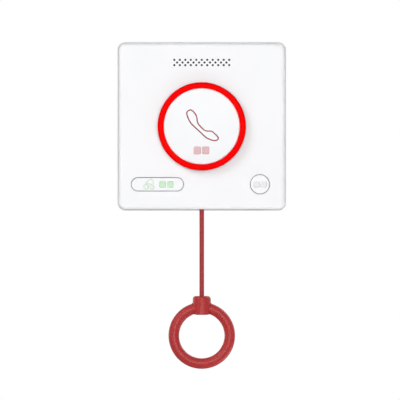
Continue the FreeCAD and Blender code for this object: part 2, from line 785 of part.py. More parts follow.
def cover_edge_details(body):
    """Snap grooves inside the skirt, the cord bush's hole and the notch for prising."""
    groove_depth = hook_front + size.fit_gap
    grooves = front_sketch(body, groove_depth)
    reach = size.hook_rise
    four_strips(grooves, cavity_half + reach / 2, reach, size.hook_length + size.fit_gap * 2)
    pocket(body, grooves, size.hook_width + size.fit_gap * 2)
    hole = new_sketch(body, "XY_Plane", -cavity_half)
    circle(hole, ZERO, -size.cord_depth, size.bush_radius + size.close_gap)
    pocket(body, hole, size.side_wall)
    notch = front_sketch(body, rim_depth + size.pry_height)
    middle = -cover_half + size.side_wall / 2
    rectangle(notch, size.pry_place, middle, size.pry_width, size.side_wall)
    pocket(body, notch, size.pry_height)


def rear_housing():
    """The flange that carries the main board, with the tub that enters the wall box."""
    body = new_body("rear_housing")
    flange = front_sketch(body, size.flange_depth)
    rounded_rectangle(
        flange, ZERO, ZERO, flange_side, flange_side, size.flange_corner
    )
    pad(body, flange, size.flange_wall)
    tub = front_sketch(body, -size.tub_reach)
    rounded_rectangle(tub, ZERO, ZERO, size.tub_side, size.tub_side, size.tub_corner)
    pad(body, tub, size.tub_reach + size.flange_depth)
    inside = front_sketch(body, flange_front)
    corner = size.tub_corner - size.tub_wall
    rounded_rectangle(inside, ZERO, ZERO, tub_inside, tub_inside, corner)
    pocket(body, inside, flange_front - tub_floor)
    reliefs = front_sketch(body, flange_front)
    relief_start = size.tub_side / 2 + size.tub_wall
    relief_length = flange_side / 2 - relief_start
    for side in (-1, 1):
        middle = (relief_start + relief_length / 2) * side
        rectangle(reliefs, middle, ZERO, relief_length, size.relief_height)
    for x, z in four_corners(boss_place):
        circle(reliefs, x, z, screw_hole)
    pocket(body, reliefs, size.flange_wall)
    window = front_sketch(body, tub_floor)
    width = terminal_length + size.window_gap * 2
    height = size.terminal_width + size.window_gap * 2
    rectangle(window, ZERO, ZERO, width, height)
    pocket(body, window, size.tub_wall)
    housing_rails(body)
    housing_posts(body)
    return body


def housing_rails(body):
    """Two rails that the pull slider runs between."""
    rails = front_sketch(body, flange_front)
    middle = -flange_side / 2 + size.rail_length / 2
    for side in (-1, 1):
        rectangle(rails, rail_place * side, middle, size.rail_wall, size.rail_length)
    pad(body, rails, size.rail_height)


def housing_posts(body):
    """Four posts for the bus board, two of them with a screw hole."""
    posts = front_sketch(body, tub_floor)
    for x, z in four_corners(post_place):
        circle(posts, x, z, size.post_radius)
    pad(body, posts, size.bus_board_back - tub_floor)
    holes = front_sketch(body, size.bus_board_back)
    for x, z in bus_screw_places():
        circle(holes, x, z, size.bus_screw_radius + size.close_gap)
    pocket(body, holes, size.bus_screw_reach)


def bus_screw_places():
    return [(-post_place, post_place), (post_place, -post_place)]


def slotted_screws(name, places, radius, reach, head_radius, head_height, seat, faces_wall):
    """Identical slotted screws; the head lies on the seat, on its wall side or in front."""
    body = new_body(name)
    shank_back = seat if faces_wall else seat - reach
    head_back = seat - head_height if faces_wall else seat
    shanks = front_sketch(body, shank_back)
    heads = front_sketch(body, head_back)
    for x, z in places:
        circle(shanks, x, z, radius)
        circle(heads, x, z, head_radius)
    pad(body, shanks, reach)
    pad(body, heads, head_height)
    slot_front = head_back + size.screw_slot_drop if faces_wall else seat + head_height
    slots = front_sketch(body, slot_front)
    slot_length = (head_radius + size.screw_slot_overrun) * 2
    for x, z in places:
        rectangle(slots, x, z, slot_length, size.screw_slot_width)
    pocket(body, slots, size.screw_slot_drop)
    return body


def housing_screws():
    return slotted_screws(
        "housing_screws",
        four_corners(boss_place),
        size.screw_radius,
        size.screw_reach,
        size.screw_head_radius,
        size.screw_head_height,
        size.flange_depth,
        True,
    )


# The main board and the call button

def main_board():
    body = new_body("main_board")
    plate = front_sketch(body, flange_front)
    rounded_rectangle(
        plate, ZERO, ZERO, flange_side, flange_side, size.flange_corner
    )
    pad(body, plate, size.board_wall)
    cuts = front_sketch(body, board_front)
    for x, z in four_corners(boss_place):
        circle(cuts, x, z, screw_hole)
    pocket(body, cuts, size.board_wall)
    notch = front_sketch(body, board_front)
    width = (rail_place + size.rail_wall / 2 + size.board_notch_gap) * 2
    height = size.board_notch_height
    rectangle(notch, ZERO, -flange_side / 2 + height / 2, width, height)
    pocket(body, notch, size.board_wall)
    guide = front_sketch(body, board_front)
    circle(guide, ZERO, -guide_place, guide_hole)
    circle(guide, ZERO, ring_foot_place, size.ring_foot_radius + size.close_gap)
    round_pattern(body, pocket(body, guide, size.board_wall), 3)
    return body


def call_light_ring():
    """The red light pipe: it stands out of the cover and takes in light from the lamps."""
    body = new_body("call_light_ring")
    outer = size.call_radius
    flange = outer + size.ring_flange
    flange_back = cavity_depth - size.ring_flange_wall
    points = [
        (ring_skirt_inner, ring_back),
        (ring_skirt_inner, ring_ledge),
        (ring_inner, ring_ledge),
        (ring_inner, ring_front - size.ring_inner_round),
        (ring_inner + size.ring_inner_round, ring_front),
        (outer - size.ring_round, ring_front),
        (outer, ring_front - size.ring_round),
        (outer, cavity_depth),
        (flange, cavity_depth),
        (flange, flange_back),
        (outer, flange_back),
        (outer, ring_back),
    ]
    turned_about_depth(body, points, {3: -size.ring_inner_round, 5: -size.ring_round})
    foot_back = board_front - size.ring_foot_reach
    foot = front_sketch(body, foot_back)
    circle(foot, ZERO, ring_foot_place, size.ring_foot_radius)
    round_pattern(body, pad(body, foot, ring_back - foot_back), 3)
    return body


def call_button_cap():
    """The domed white cap, with a stop flange, a middle stem, a pad rib and guide pins."""
    body = new_body("call_button_cap")
    stop_front = ring_ledge - size.touch_gap
    stop_back = stop_front - size.call_stop_wall
    skirt_inner = cap_radius - size.call_wall
    edge = size.call_edge_round
    dome_reach = cap_radius - edge
    dome_radius = bow_radius(dome_reach, size.call_dome)
    points = [
        (ZERO, cap_inside),
        (ZERO, cap_edge + size.call_dome),
        (dome_reach, cap_edge),
        (cap_radius, cap_edge - edge),
        (cap_radius, stop_front),
        (cap_radius + size.call_stop, stop_front),
        (cap_radius + size.call_stop, stop_back),
        (skirt_inner, stop_back),
        (skirt_inner, cap_inside),
    ]
    turned_about_depth(body, points, {1: -dome_radius, 2: -edge})
    stem_back = call_plunger_front + size.touch_gap
    stem = front_sketch(body, stem_back)
    circle(stem, ZERO, ZERO, size.call_stem_radius)
    pad(body, stem, cap_inside - stem_back)
    rib_back = pad_front + size.touch_gap
    rib = front_sketch(body, rib_back)
    circle(rib, ZERO, ZERO, pad_radius + pad_wall)
    circle(rib, ZERO, ZERO, pad_radius - pad_wall)
    pad(body, rib, cap_inside - rib_back)
    pin_back = board_front - size.guide_reach
    pin = front_sketch(body, pin_back)
    circle(pin, ZERO, -guide_place, size.guide_radius)
    round_pattern(body, pad(body, pin, cap_inside - pin_back), 3)
    return body


def call_return_pad():
    """The silicone collar that lifts the cap: a foot on the board and a leaning thin wall."""
    body = new_body("call_return_pad")
    points = [
        (pad_foot_inner, board_front),
        (pad_foot_outer, board_front),
        (pad_foot_outer, board_front + size.pad_foot),
        (pad_foot_outer - pad_wall, board_front + size.pad_foot),
        (pad_radius + pad_wall, pad_front - size.pad_foot),
        (pad_radius + pad_wall, pad_front),
        (pad_radius - pad_wall, pad_front),
        (pad_radius - pad_wall, pad_front - size.pad_foot),
        (pad_radius, pad_front - size.pad_lip),
    ]
    turned_about_depth(body, points)
    return body


def ring_lamps():
    body = new_body("ring_lamps")
    sketch = front_sketch(body, board_front)
    half_step = math.pi / size.lamp_count.value
    across = ring_foot_place * math.sin(half_step)
    along = ring_foot_place * math.cos(half_step)
    tilted_rectangle(sketch, across, along, size.lamp_length, size.lamp_width, -half_step)
    lamp = pad(body, sketch, size.lamp_height)
    round_pattern(body, lamp, size.lamp_count)
    return body


def tilted_rectangle(sketch, x, y, length, width, angle):
    """A rectangle turned by a fixed angle about its middle."""
    points = []
    for along, across in ((-1, -1), (1, -1), (1, 1), (-1, 1)):
        far = length / 2 * along
        side = width / 2 * across
        turned_x = x + far * math.cos(angle) - side * math.sin(angle)
        turned_y = y + far * math.sin(angle) + side * math.cos(angle)
        points.append((turned_x, turned_y))
    outline(sketch, points)


# Push switches

def push_switch(name, x, z, height, travel):
    """A low box with legs along two sides and a round well for its plunger."""
    body = new_body(name, x, ZERO, z)
    side = size.switch_side
    front = board_front + height
    box = front_sketch(body, board_front)
    rounded_rectangle(box, ZERO, ZERO, side, side, size.switch_corner)
    pad(body, box, height)
    legs = front_sketch(body, board_front)
    leg_length = side + size.switch_leg * 2
    for place in (-1, 1):
        rectangle(legs, ZERO, size.leg_place * place, leg_length, size.leg_side)
    pad(body, legs, size.leg_side)
    well = front_sketch(body, front)
    circle(well, ZERO, ZERO, size.plunger_radius + size.close_gap)
    pocket(body, well, size.plunger_seat + travel + size.fit_gap)
    return body


def push_plunger(name, x, z, height, rise):
    body = new_body(name, x, ZERO, z)
    back = board_front + height - size.plunger_seat
    stem = front_sketch(body, back)
    circle(stem, ZERO, ZERO, size.plunger_radius)
    pad(body, stem, size.plunger_seat + rise)
    return body


def call_switch():
    push_switch("call_switch_body", ZERO, ZERO, size.call_switch_height, size.call_travel)
    push_plunger(
        "call_switch_plunger", ZERO, ZERO, size.call_switch_height, size.call_plunger_rise
    )


def small_switch(name, x):
    z = buttons_height
    height = size.small_switch_height
    push_switch(f"{name}_switch_body", x, z, height, size.button_travel)
    push_plunger(f"{name}_switch_plunger", x, z, height, size.small_plunger_rise)


# The two small buttons

def small_button(name, x, draw):
    """A hollow cap with a flange behind the cover's face and a stem onto its switch."""
    body = new_body(name, x, ZERO, buttons_height)
    flange = front_sketch(body, button_back)
    draw(flange, ZERO, ZERO, size.button_flange)
    pad(body, flange, size.button_flange_wall)
    cap = front_sketch(body, button_back)
    draw(cap, ZERO, ZERO, ZERO)
    front = pad(body, cap, button_front - button_back)

    def is_front_edge(edge):
        return lies_at_depth(edge, button_front)

    round_edges(body, front, size.button_round, is_front_edge)
    hollow = front_sketch(body, button_inside)
    draw(hollow, ZERO, ZERO, -size.button_wall)
    pocket(body, hollow, button_inside - button_back)
    stem_back = small_plunger_front + size.touch_gap
    stem = front_sketch(body, stem_back)
    circle(stem, ZERO, ZERO, size.button_stem_radius)
    pad(body, stem, button_inside - stem_back)
    return body


def service_lamp():
    place = service_left + size.service_lamp_inset
    body = new_body("service_lamp", place, ZERO, buttons_height)
    sketch = front_sketch(body, board_front)
    rectangle(sketch, ZERO, ZERO, size.service_lamp_length, size.lamp_width)
    pad(body, sketch, size.lamp_height)
    return body


# The speaker and the microphone

def dust_mesh():
    body = new_body("dust_mesh", ZERO, ZERO, grille_place)
    length = size.bay_length - size.fit_gap * 2
    sketch = front_sketch(body, mesh_back)
    corner = size.bay_corner - size.fit_gap
    rounded_rectangle(sketch, ZERO, ZERO, length, speaker_width, corner)
    pad(body, sketch, size.mesh_wall)
    return body


def speaker_outline(sketch, shrink):
    length = size.speaker_length - shrink * 2
    width = speaker_width - shrink * 2
    rounded_rectangle(sketch, ZERO, ZERO, length, width, size.bay_corner - size.fit_gap)


def speaker_gasket():
    body = new_body("speaker_gasket", speaker_place, ZERO, grille_place)
    sketch = front_sketch(body, gasket_back)
    speaker_outline(sketch, ZERO)
    speaker_outline(sketch, size.gasket_width)
    pad(body, sketch, size.gasket_wall)
    return body


def speaker_frame():
    """The basket, with a stepped seat for the cone and a window for the magnet."""
    body = new_body("speaker_frame", speaker_place, ZERO, grille_place)
    block = front_sketch(body, speaker_back)
    speaker_outline(block, ZERO)
    pad(body, block, size.speaker_height)
    seat = front_sketch(body, gasket_back)
    speaker_outline(seat, size.speaker_wall)
    pocket(body, seat, size.cone_step)
    inside = front_sketch(body, gasket_back - size.cone_step)
    speaker_outline(inside, size.speaker_wall + size.cone_step)
    pocket(body, inside, size.speaker_height - size.cone_step - size.speaker_wall)
    window = front_sketch(body, speaker_back + size.speaker_wall)
    stadium(
        window,
        ZERO,
        ZERO,
        size.magnet_length + size.close_gap * 2,
        size.magnet_width + size.close_gap * 2,
    )
    pocket(body, window, size.speaker_wall)
    return body


def speaker_cone():
    """The diaphragm with its raised middle and the voice coil on its back."""
    body = new_body("speaker_cone", speaker_place, ZERO, grille_place)
    back = gasket_back - size.cone_step
    disc = front_sketch(body, back)
    speaker_outline(disc, size.speaker_wall + size.close_gap)
    pad(body, disc, size.cone_wall)
    coil_inner = size.coil_gap * 2
    coil_outer = coil_inner + size.coil_wall * 2
    dome = front_sketch(body, back + size.cone_wall)
    stadium(
        dome, ZERO, ZERO, size.magnet_length + coil_outer, size.magnet_width + coil_outer
    )
    pad(body, dome, size.cone_dome)
    coil = front_sketch(body, back - size.coil_reach)
    for grow in (coil_inner, coil_outer):
        stadium(coil, ZERO, ZERO, size.magnet_length + grow, size.magnet_width + grow)
    pad(body, coil, size.coil_reach)
    return body


def speaker_magnet():
    body = new_body("speaker_magnet", speaker_place, ZERO, grille_place)
    front = gasket_back - size.cone_step - size.fit_gap
    sketch = front_sketch(body, front - size.magnet_height)
    stadium(sketch, ZERO, ZERO, size.magnet_length, size.magnet_width)
    pad(body, sketch, size.magnet_height)
    return body


def speaker_contacts():
    """Two spring contacts between the main board and the speaker."""
    body = new_body("speaker_contacts", speaker_place, ZERO, grille_place)
    sketch = front_sketch(body, board_front)
    for side in (-1, 1):
        x = size.contact_place * side
        rectangle(sketch, x, ZERO, size.contact_side, size.contact_length)
    pad(body, sketch, speaker_back - board_front)
    return body


def microphone():
    body = new_body("microphone", mic_place, ZERO, grille_place)
    front = mesh_back - size.boot_wall - size.close_gap
    sketch = front_sketch(body, front - size.mic_height)
    circle(sketch, ZERO, ZERO, size.mic_radius)
    pad(body, sketch, size.mic_height)
    return body


def microphone_boot():
    """A rubber cup around the microphone, open to the board and with a sound hole in front."""
    body = new_body("microphone_boot", mic_place, ZERO, grille_place)
    inner = size.mic_radius + size.close_gap
    points = [
        (size.boot_hole, mesh_back),
        (boot_radius, mesh_back),
        (boot_radius, board_front),
        (inner, board_front),
        (inner, mesh_back - size.boot_wall),
        (size.boot_hole, mesh_back - size.boot_wall),
    ]
    turned_about_depth(body, points)
    return body


# The pull cord and what it works

def cord_bush():
    """The bell-mouthed bush that leads the cord through the bottom of the cover."""
    body = new_body("cord_bush", ZERO, size.cord_depth, ZERO)
    mouth = cord_hole + size.bush_mouth
    points = [
        (mouth, bush_top),
        (size.bush_flange, bush_top),
        (size.bush_flange, -cavity_half),
        (size.bush_radius, -cavity_half),
        (size.bush_radius, -cover_half),
        (mouth, -cover_half),
        (cord_hole, -cover_half + size.bush_mouth),
        (cord_hole, bush_top - size.bush_mouth),
    ]
    turned_upright(body, points)
    return body


def pull_slider():
    """The block that the cord pulls down, with a ramp on its right that works the switch."""
    body = new_body("pull_slider", ZERO, size.cord_depth, ZERO)
    block = front_sketch(body, slider_back - size.cord_depth)
    middle = slider_foot + size.slider_height / 2
    rectangle(block, ZERO, middle, size.slider_width, size.slider_height)
    pad(body, block, slider_front - slider_back)
    ramp = front_sketch(body, slider_front - size.cord_depth)
    low = slider_foot + size.ramp_foot
    deep = slider_half - size.ramp_run * size.ramp_slope
    points = [
        (slider_half, slider_foot),
        (slider_half, low + size.ramp_run),
        (deep, low),
        (deep, slider_foot),
    ]
    outline(ramp, points)
    pocket(body, ramp, slider_front - size.ramp_depth)
    knot_hole = new_sketch(body, "XY_Plane", slider_top)
    circle(knot_hole, ZERO, ZERO, size.knot_radius + size.knot_gap)
    pocket(body, knot_hole, size.knot_pocket)
    bore = new_sketch(body, "XY_Plane", knot_floor)
    circle(bore, ZERO, ZERO, cord_hole)
    pocket(body, bore, knot_floor - slider_foot)
    seat = new_sketch(body, "XY_Plane", slider_foot + size.spring_seat)
    circle(seat, ZERO, ZERO, size.spring_radius + size.spring_wire + size.fit_gap)
    pocket(body, seat, size.spring_seat)
    return body


def pull_spring():
    """The coil spring that lifts the slider from the bush's flange."""
    base = bush_top + size.spring_wire + size.touch_gap
    body = new_body("pull_spring", ZERO, size.cord_depth, base)
    wire = new_sketch(body, "XZ_Plane")
    circle(wire, size.spring_radius, ZERO, size.spring_wire)
    coil = body.newObject("PartDesign::AdditiveHelix", "pull_spring_coil")
    coil.Profile = wire
    coil.ReferenceAxis = (wire, ["V_Axis"])
    coil.Mode = "height-turns-angle"
    bind(coil, "Turns", size.spring_turns)
    bind(coil, "Height", size.spring_length - size.spring_wire * 2 - size.touch_gap * 2)
    return body


def pull_switch_body():
    body = new_body("pull_switch_body")
    width = size.pull_switch_length
    middle = size.pull_switch_place + width / 2
    box = front_sketch(body, board_front)
    rectangle(box, middle, plunger_height, width, size.pull_switch_width)
    pad(body, box, size.pull_switch_height)
    well_depth = size.pull_plunger_seat + pull_plunger_travel + size.fit_gap
    well = new_sketch(body, "YZ_Plane", size.pull_switch_place + well_depth)
    hole = size.pull_plunger_radius + size.close_gap
    circle(well, -size.pull_plunger_depth, plunger_height, hole)
    pocket(body, well, well_depth)
    return body


def pull_switch_plunger():
    """A pin with a round tip that lies on the slider's ramp."""
    body = new_body("pull_switch_plunger", ZERO, size.pull_plunger_depth, plunger_height)
    radius = size.pull_plunger_radius
    ramp_face = slider_half - (size.ramp_run - size.ramp_start) * size.ramp_slope
    lean = root(size.ramp_slope * size.ramp_slope + 1)
    tip_centre = ramp_face + size.touch_gap + radius * lean
    end = size.pull_switch_place + size.pull_plunger_seat
    sketch = new_sketch(body, "XZ_Plane")
    points = [
        (tip_centre - radius, ZERO),
        (end, ZERO),
        (end, radius),
        (tip_centre, radius),
    ]
    outline(sketch, points, {3: -radius})
    turned = feature(body, "Revolution", sketch)
    turned.ReferenceAxis = (sketch, ["H_Axis"])
    turned.Angle = 360
    return body


def upper_knot():
    """The cord's knot in the slider."""
    flat = knot_floor + size.close_gap
    centre = flat + knot_seat
    body = new_body("upper_knot", ZERO, size.cord_depth, ZERO)
    points = [
        (ZERO, flat),
        (size.cord_radius, flat),
        (size.knot_radius, centre),
        (ZERO, centre + size.knot_radius),
    ]
    turned_upright(body, points, {1: -size.knot_radius, 2: -size.knot_radius})
    return body


def lower_knot():
    """The cord's knot in the handle's neck."""
    flat = neck_knot_roof - size.close_gap
    centre = flat - knot_seat
    body = new_body("lower_knot", ZERO, size.cord_depth, handle_centre)
    points = [
        (ZERO, flat),
        (size.cord_radius, flat),
        (size.knot_radius, centre),
        (ZERO, centre - size.knot_radius),
    ]
    turned_upright(body, points, {1: size.knot_radius, 2: size.knot_radius})
    return body


def cord_inner():
    """The straight stretch of cord from the slider's knot down through the bush."""
    body = new_body("cord_inner", ZERO, size.cord_depth, ZERO)
    end = bend_height + size.cord_radius + size.close_gap
    sketch = new_sketch(body, "XY_Plane", end)
    circle(sketch, ZERO, ZERO, size.cord_radius)
    pad(body, sketch, knot_floor + size.close_gap - end)
    return body


def pull_cord():
    """The hanging stretch of cord; its round top lets it swing at the bush."""
    body = new_body("pull_cord", ZERO, size.cord_depth, ZERO)
    end = handle_centre + neck_knot_roof - size.close_gap
    points = [
        (ZERO, bend_height + size.cord_radius),
        (size.cord_radius, bend_height),
        (size.cord_radius, end),
        (ZERO, end),
    ]
    turned_upright(body, points, {0: size.cord_radius})
    return body


def pull_ring():
    """The ring handle, with an upright neck that hides the cord's lower knot."""
    body = new_body("pull_ring", ZERO, size.cord_depth, handle_centre)
    section = new_sketch(body, "XY_Plane")
    circle(section, handle_mid, ZERO, size.handle_tube)
    revolve(body, section)
    foot = size.neck_foot + size.neck_foot_dome
    top = size.neck_rise - size.neck_top_round
    flat = size.neck_top_radius - size.neck_top_round
    dome_radius = bow_radius(size.neck_radius, size.neck_foot_dome)
    points = [
        (ZERO, size.neck_foot),
        (size.neck_radius, foot),
        (size.neck_top_radius, top),
        (flat, size.neck_rise),
        (ZERO, size.neck_rise),
    ]
    turned_upright(body, points, {0: -dome_radius, 2: -size.neck_top_round})
    handle_struts(body)
    bore = new_sketch(body, "XY_Plane", size.neck_rise)
    circle(bore, ZERO, ZERO, size.cord_radius + size.close_gap)
    pocket(body, bore, size.neck_rise - neck_knot_roof)
    hollow = new_sketch(body, "XY_Plane", neck_knot_roof)
    circle(hollow, ZERO, ZERO, neck_pocket)
    pocket(body, hollow, size.knot_pocket)
    return body


def handle_struts(body):
    """Two round struts that fill the corners between the neck and the ring."""
    high = size.neck_rise - size.strut_drop
    low = root(handle_mid * handle_mid - size.strut_foot * size.strut_foot)
    run = size.strut_foot - size.strut_head
    fall = high - low
    length = root(run * run + fall * fall)
    out = size.strut_radius * fall / length
    up = size.strut_radius * run / length
    for sign in (-1, 1):
        head = (size.strut_head * sign, high)
        foot = (size.strut_foot * sign, low)
        head_side = ((size.strut_head + out) * sign, high + up)
        foot_side = ((size.strut_foot + out) * sign, low + up)
        sketch = new_sketch(body, "XZ_Plane")
        axis = sketch.addGeometry(Part.LineSegment(vector(*head), vector(*foot)), True)
        fix_point(sketch, axis, 1, *head)
        fix_point(sketch, axis, 2, *foot)
        outline(sketch, [head, foot, foot_side, head_side])
        strut = feature(body, "Revolution", sketch)
        strut.ReferenceAxis = (sketch, ["Axis0"])
        strut.Angle = 360


# The bus electronics in the tub

def bus_board():
    body = new_body("bus_board")
    plate = front_sketch(body, size.bus_board_back)
    side = bus_board_side
    rounded_rectangle(plate, ZERO, ZERO, side, side, size.flange_corner)
    for x, z in bus_screw_places():
        circle(plate, x, z, size.bus_screw_radius + size.fit_gap)
    pad(body, plate, size.board_wall)
    return body


def bus_board_screws():
    return slotted_screws(
        "bus_board_screws",
        bus_screw_places(),
        size.bus_screw_radius,
        size.bus_screw_reach,
        size.bus_screw_head,
        size.bus_screw_head_height,
        bus_board_front,
        False,
    )


def pole_places():
    """Sideways places of the terminal's poles."""
    count = int(size.pole_count.value)
    first = -(size.pole_count - 1) / 2
    return [(first + number) * size.pole_pitch for number in range(count)]


def bus_terminal():
    """The terminal block: wires enter from below and are clamped from the back."""
    body = new_body("bus_terminal")
    block = front_sketch(body, terminal_back)
    rectangle(block, ZERO, ZERO, terminal_length, size.terminal_width)
    pad(body, block, size.bus_board_back - terminal_back)
    wire_depth = terminal_back + size.wire_place
    wires = new_sketch(body, "XY_Plane", size.wire_depth - size.terminal_width / 2)
    wells = front_sketch(body, wire_depth)
    for x in pole_places():
        circle(wires, x, -wire_depth, size.wire_radius)
        circle(wells, x, ZERO, size.clamp_radius + size.fit_gap)
    pocket(body, wires, size.wire_depth)
    pocket(body, wells, size.wire_place)
    return body


def terminal_screws():
    body = new_body("terminal_screws")
    back = terminal_back + size.clamp_recess
    heads = front_sketch(body, back)
    slots = front_sketch(body, back + size.screw_slot_drop)
    slot_length = (size.clamp_radius + size.screw_slot_overrun) * 2
    for x in pole_places():
        circle(heads, x, ZERO, size.clamp_radius)
        rectangle(slots, x, ZERO, slot_length, size.screw_slot_width)
    pad(body, heads, size.clamp_height)
    pocket(body, slots, size.screw_slot_drop)
    return body


def bus_capacitors():
    body = new_body("bus_capacitors")
    sketch = front_sketch(body, bus_board_front)
    for side in (-1, 1):
        x = size.capacitor_spread * side
        circle(sketch, x, capacitor_place, size.capacitor_radius)
    cans = pad(body, sketch, size.capacitor_height)

    def is_top_edge(edge):
        return lies_at_depth(edge, bus_board_front + size.capacitor_height)

    round_edges(body, cans, size.capacitor_round, is_top_edge)
    return body


def board_link():
    """A row of pins between the two boards, with a holder at each end."""
    body = new_body("board_link")
    holders = (bus_board_front, flange_front - size.link_width)
    for back in holders:
        holder = front_sketch(body, back)
        rectangle(holder, ZERO, link_place, link_length, size.link_width)
        pad(body, holder, size.link_width)
    pins = front_sketch(body, bus_board_front)
    first = -(size.link_pins - 1) / 2
    for number in range(int(size.link_pins.value)):
        x = (first + number) * size.link_pitch
        rectangle(pins, x, link_place, size.link_pin, size.link_pin)
    pad(body, pins, flange_front - bus_board_front)
    return body


def board_chip(name, x, z, length, width, height):
    """A chip on the back of the main board."""
    body = new_body(name, x, ZERO, z)
    sketch = front_sketch(body, flange_front - height)
    rectangle(sketch, ZERO, ZERO, length, width)
    pad(body, sketch, height)
    return body


def build_all():
    mounting_frame()
    front_cover()
    rear_housing()
    housing_screws()
    main_board()
    call_light_ring()
    call_button_cap()
    call_return_pad()
    ring_lamps()
    call_switch()
    small_button("service_button_cap", service_place, service_outline)
    small_button("cancel_button_cap", cancel_place, cancel_outline)
    small_switch("service", service_place)
    small_switch("cancel", cancel_place)
    service_lamp()
    dust_mesh()
    speaker_gasket()
    speaker_frame()
    speaker_cone()
    speaker_magnet()
    speaker_contacts()
    microphone()
    microphone_boot()
    cord_bush()
    pull_slider()
    pull_spring()
    pull_switch_body()
    pull_switch_plunger()
    upper_knot()
    cord_inner()
    pull_cord()
    lower_knot()
    pull_ring()
    bus_board()
    bus_board_screws()
    bus_terminal()
    terminal_screws()
    bus_capacitors()
    board_link()
    side = size.processor_side
    board_chip("processor_chip", ZERO, ZERO, side, side, size.processor_height)
    board_chip(
        "amplifier_chip",
        size.amplifier_place,
        ZERO,
        size.amplifier_length,
        size.amplifier_width,
        size.processor_height,
    )


def check_and_write():
    """Every feature has to be sound before any file is written."""
    document.recompute()
    for thing in document.Objects:
        if "Invalid" in thing.State or "Error" in thing.State:
            raise RuntimeError(f"{thing.Label} failed: {thing.State}")
    bodies = [thing for thing in document.Objects if thing.TypeId == "PartDesign::Body"]
    for body in bodies:
        if body.Shape.isNull() or not body.Shape.isValid():
            raise RuntimeError(f"{body.Label} has no sound shape")
    os.makedirs("parts", exist_ok=True)
    for body in bodies:
        body.Shape.exportStep(f"parts/{body.Label}.step")
        box = body.Shape.BoundBox
        print(
            f"{body.Label}: {len(body.Shape.Solids)} solids, {body.Shape.Volume:.2f} mm3, "
            f"x {box.XMin:.2f} {box.XMax:.2f}, y {box.YMin:.2f} {box.YMax:.2f}, "
            f"z {box.ZMin:.2f} {box.ZMax:.2f}"
        )


build_all()
check_and_write()
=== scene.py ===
"""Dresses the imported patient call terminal: camera, light, materials, printed signs, cord."""

import json
import math

import bpy
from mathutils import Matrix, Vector
from mathutils.bvhtree import BVHTree


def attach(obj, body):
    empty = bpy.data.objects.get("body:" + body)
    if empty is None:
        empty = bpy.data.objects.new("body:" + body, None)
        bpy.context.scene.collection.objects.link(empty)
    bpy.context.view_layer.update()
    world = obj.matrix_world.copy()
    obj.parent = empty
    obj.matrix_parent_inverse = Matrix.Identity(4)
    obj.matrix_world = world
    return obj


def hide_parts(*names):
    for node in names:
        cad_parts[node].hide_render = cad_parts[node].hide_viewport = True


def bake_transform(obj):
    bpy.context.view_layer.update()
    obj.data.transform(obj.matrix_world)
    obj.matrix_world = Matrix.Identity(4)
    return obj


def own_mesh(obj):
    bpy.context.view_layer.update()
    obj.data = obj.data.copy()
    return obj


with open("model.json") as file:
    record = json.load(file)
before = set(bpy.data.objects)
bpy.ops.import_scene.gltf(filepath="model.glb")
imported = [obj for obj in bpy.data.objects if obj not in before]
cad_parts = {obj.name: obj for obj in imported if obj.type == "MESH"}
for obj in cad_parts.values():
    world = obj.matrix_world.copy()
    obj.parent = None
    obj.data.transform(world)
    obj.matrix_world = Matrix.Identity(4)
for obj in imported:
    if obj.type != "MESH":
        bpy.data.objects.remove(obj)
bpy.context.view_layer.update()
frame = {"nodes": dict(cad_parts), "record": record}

MM = 0.001
scene = bpy.context.scene

# Places of the solids, in metres. The panel's front looks along -Y.
CORD_DEPTH = -8.9 * MM
CORD_RADIUS = 1.15 * MM
CORD_TOP = -38.0 * MM
BUSH_TOP = -39.5 * MM
BUSH_MOUTH = -42.3 * MM
KNOT_IN_NECK = -92.0 * MM
BOARD_FRONT = -7.4 * MM
BUTTON_FRONT = -14.5 * MM
RING_FRONT = -18.0 * MM
RING_INNER = 19.6 * MM
RING_LAMPS = 12
CAPACITOR_STRIPE = -13.2 * MM


# Camera, world, lamps and floor

VIEW_WIDTH = 204.2 * MM
CAMERA_PLACE = (-0.9 * MM, -1.2, -37.6 * MM)
LAMP_AIM = (0, 0, -30 * MM)
AMBIENT = 0.15
FLOOR_HEIGHT = -1.0
FLOOR_RADIUS = 8.0
FLOOR_GLOW = 0.6

# Name, place, side and power of each lamp: a key from the upper left, a broad front, and three
# beside or behind the panel for its edges, sides and back.
LAMPS = (
    ("key", (-0.72, -0.75, 0.6), 0.55, 4.6),
    ("front", (0.1, -1.6, 0.1), 1.0, 15.2),
    ("back", (0.9, 0.75, 0.75), 1.0, 6.5),
    ("side", (-0.9, 0.7, -0.3), 1.0, 3.0),
    ("low", (0.7, 0.12, -0.62), 0.6, 4.2),
)


def place_camera():
    """Straight at the panel, as in the photograph, with parallel lines kept parallel."""
    data = bpy.data.cameras.new("camera")
    data.type = "ORTHO"
    data.ortho_scale = VIEW_WIDTH
    camera = bpy.data.objects.new("camera", data)
    camera.location = CAMERA_PLACE
    camera.rotation_euler = (math.radians(90), 0, 0)
    scene.collection.objects.link(camera)
    scene.camera = camera


def white_background():
    """An even, faint sky; the camera, metal and clear plastic see plain white."""
    world = bpy.data.worlds.new("studio")
    world.use_nodes = True
    scene.world = world
    nodes = world.node_tree.nodes
    links = world.node_tree.links
    nodes.clear()
    path = nodes.new("ShaderNodeLightPath")
    seen = path.outputs["Is Camera Ray"]
    for ray in ("Is Glossy Ray", "Is Transmission Ray"):
        either = nodes.new("ShaderNodeMath")
        either.operation = "MAXIMUM"
        links.new(seen, either.inputs[0])
        links.new(path.outputs[ray], either.inputs[1])
        seen = either.outputs[0]
    strength = nodes.new("ShaderNodeMapRange")
    strength.inputs["To Min"].default_value = AMBIENT
    strength.inputs["To Max"].default_value = 1.0
    links.new(seen, strength.inputs["Value"])
    background = nodes.new("ShaderNodeBackground")
    background.inputs["Color"].default_value = (1, 1, 1, 1)
    links.new(strength.outputs["Result"], background.inputs["Strength"])
    output = nodes.new("ShaderNodeOutputWorld")
    links.new(background.outputs["Background"], output.inputs["Surface"])


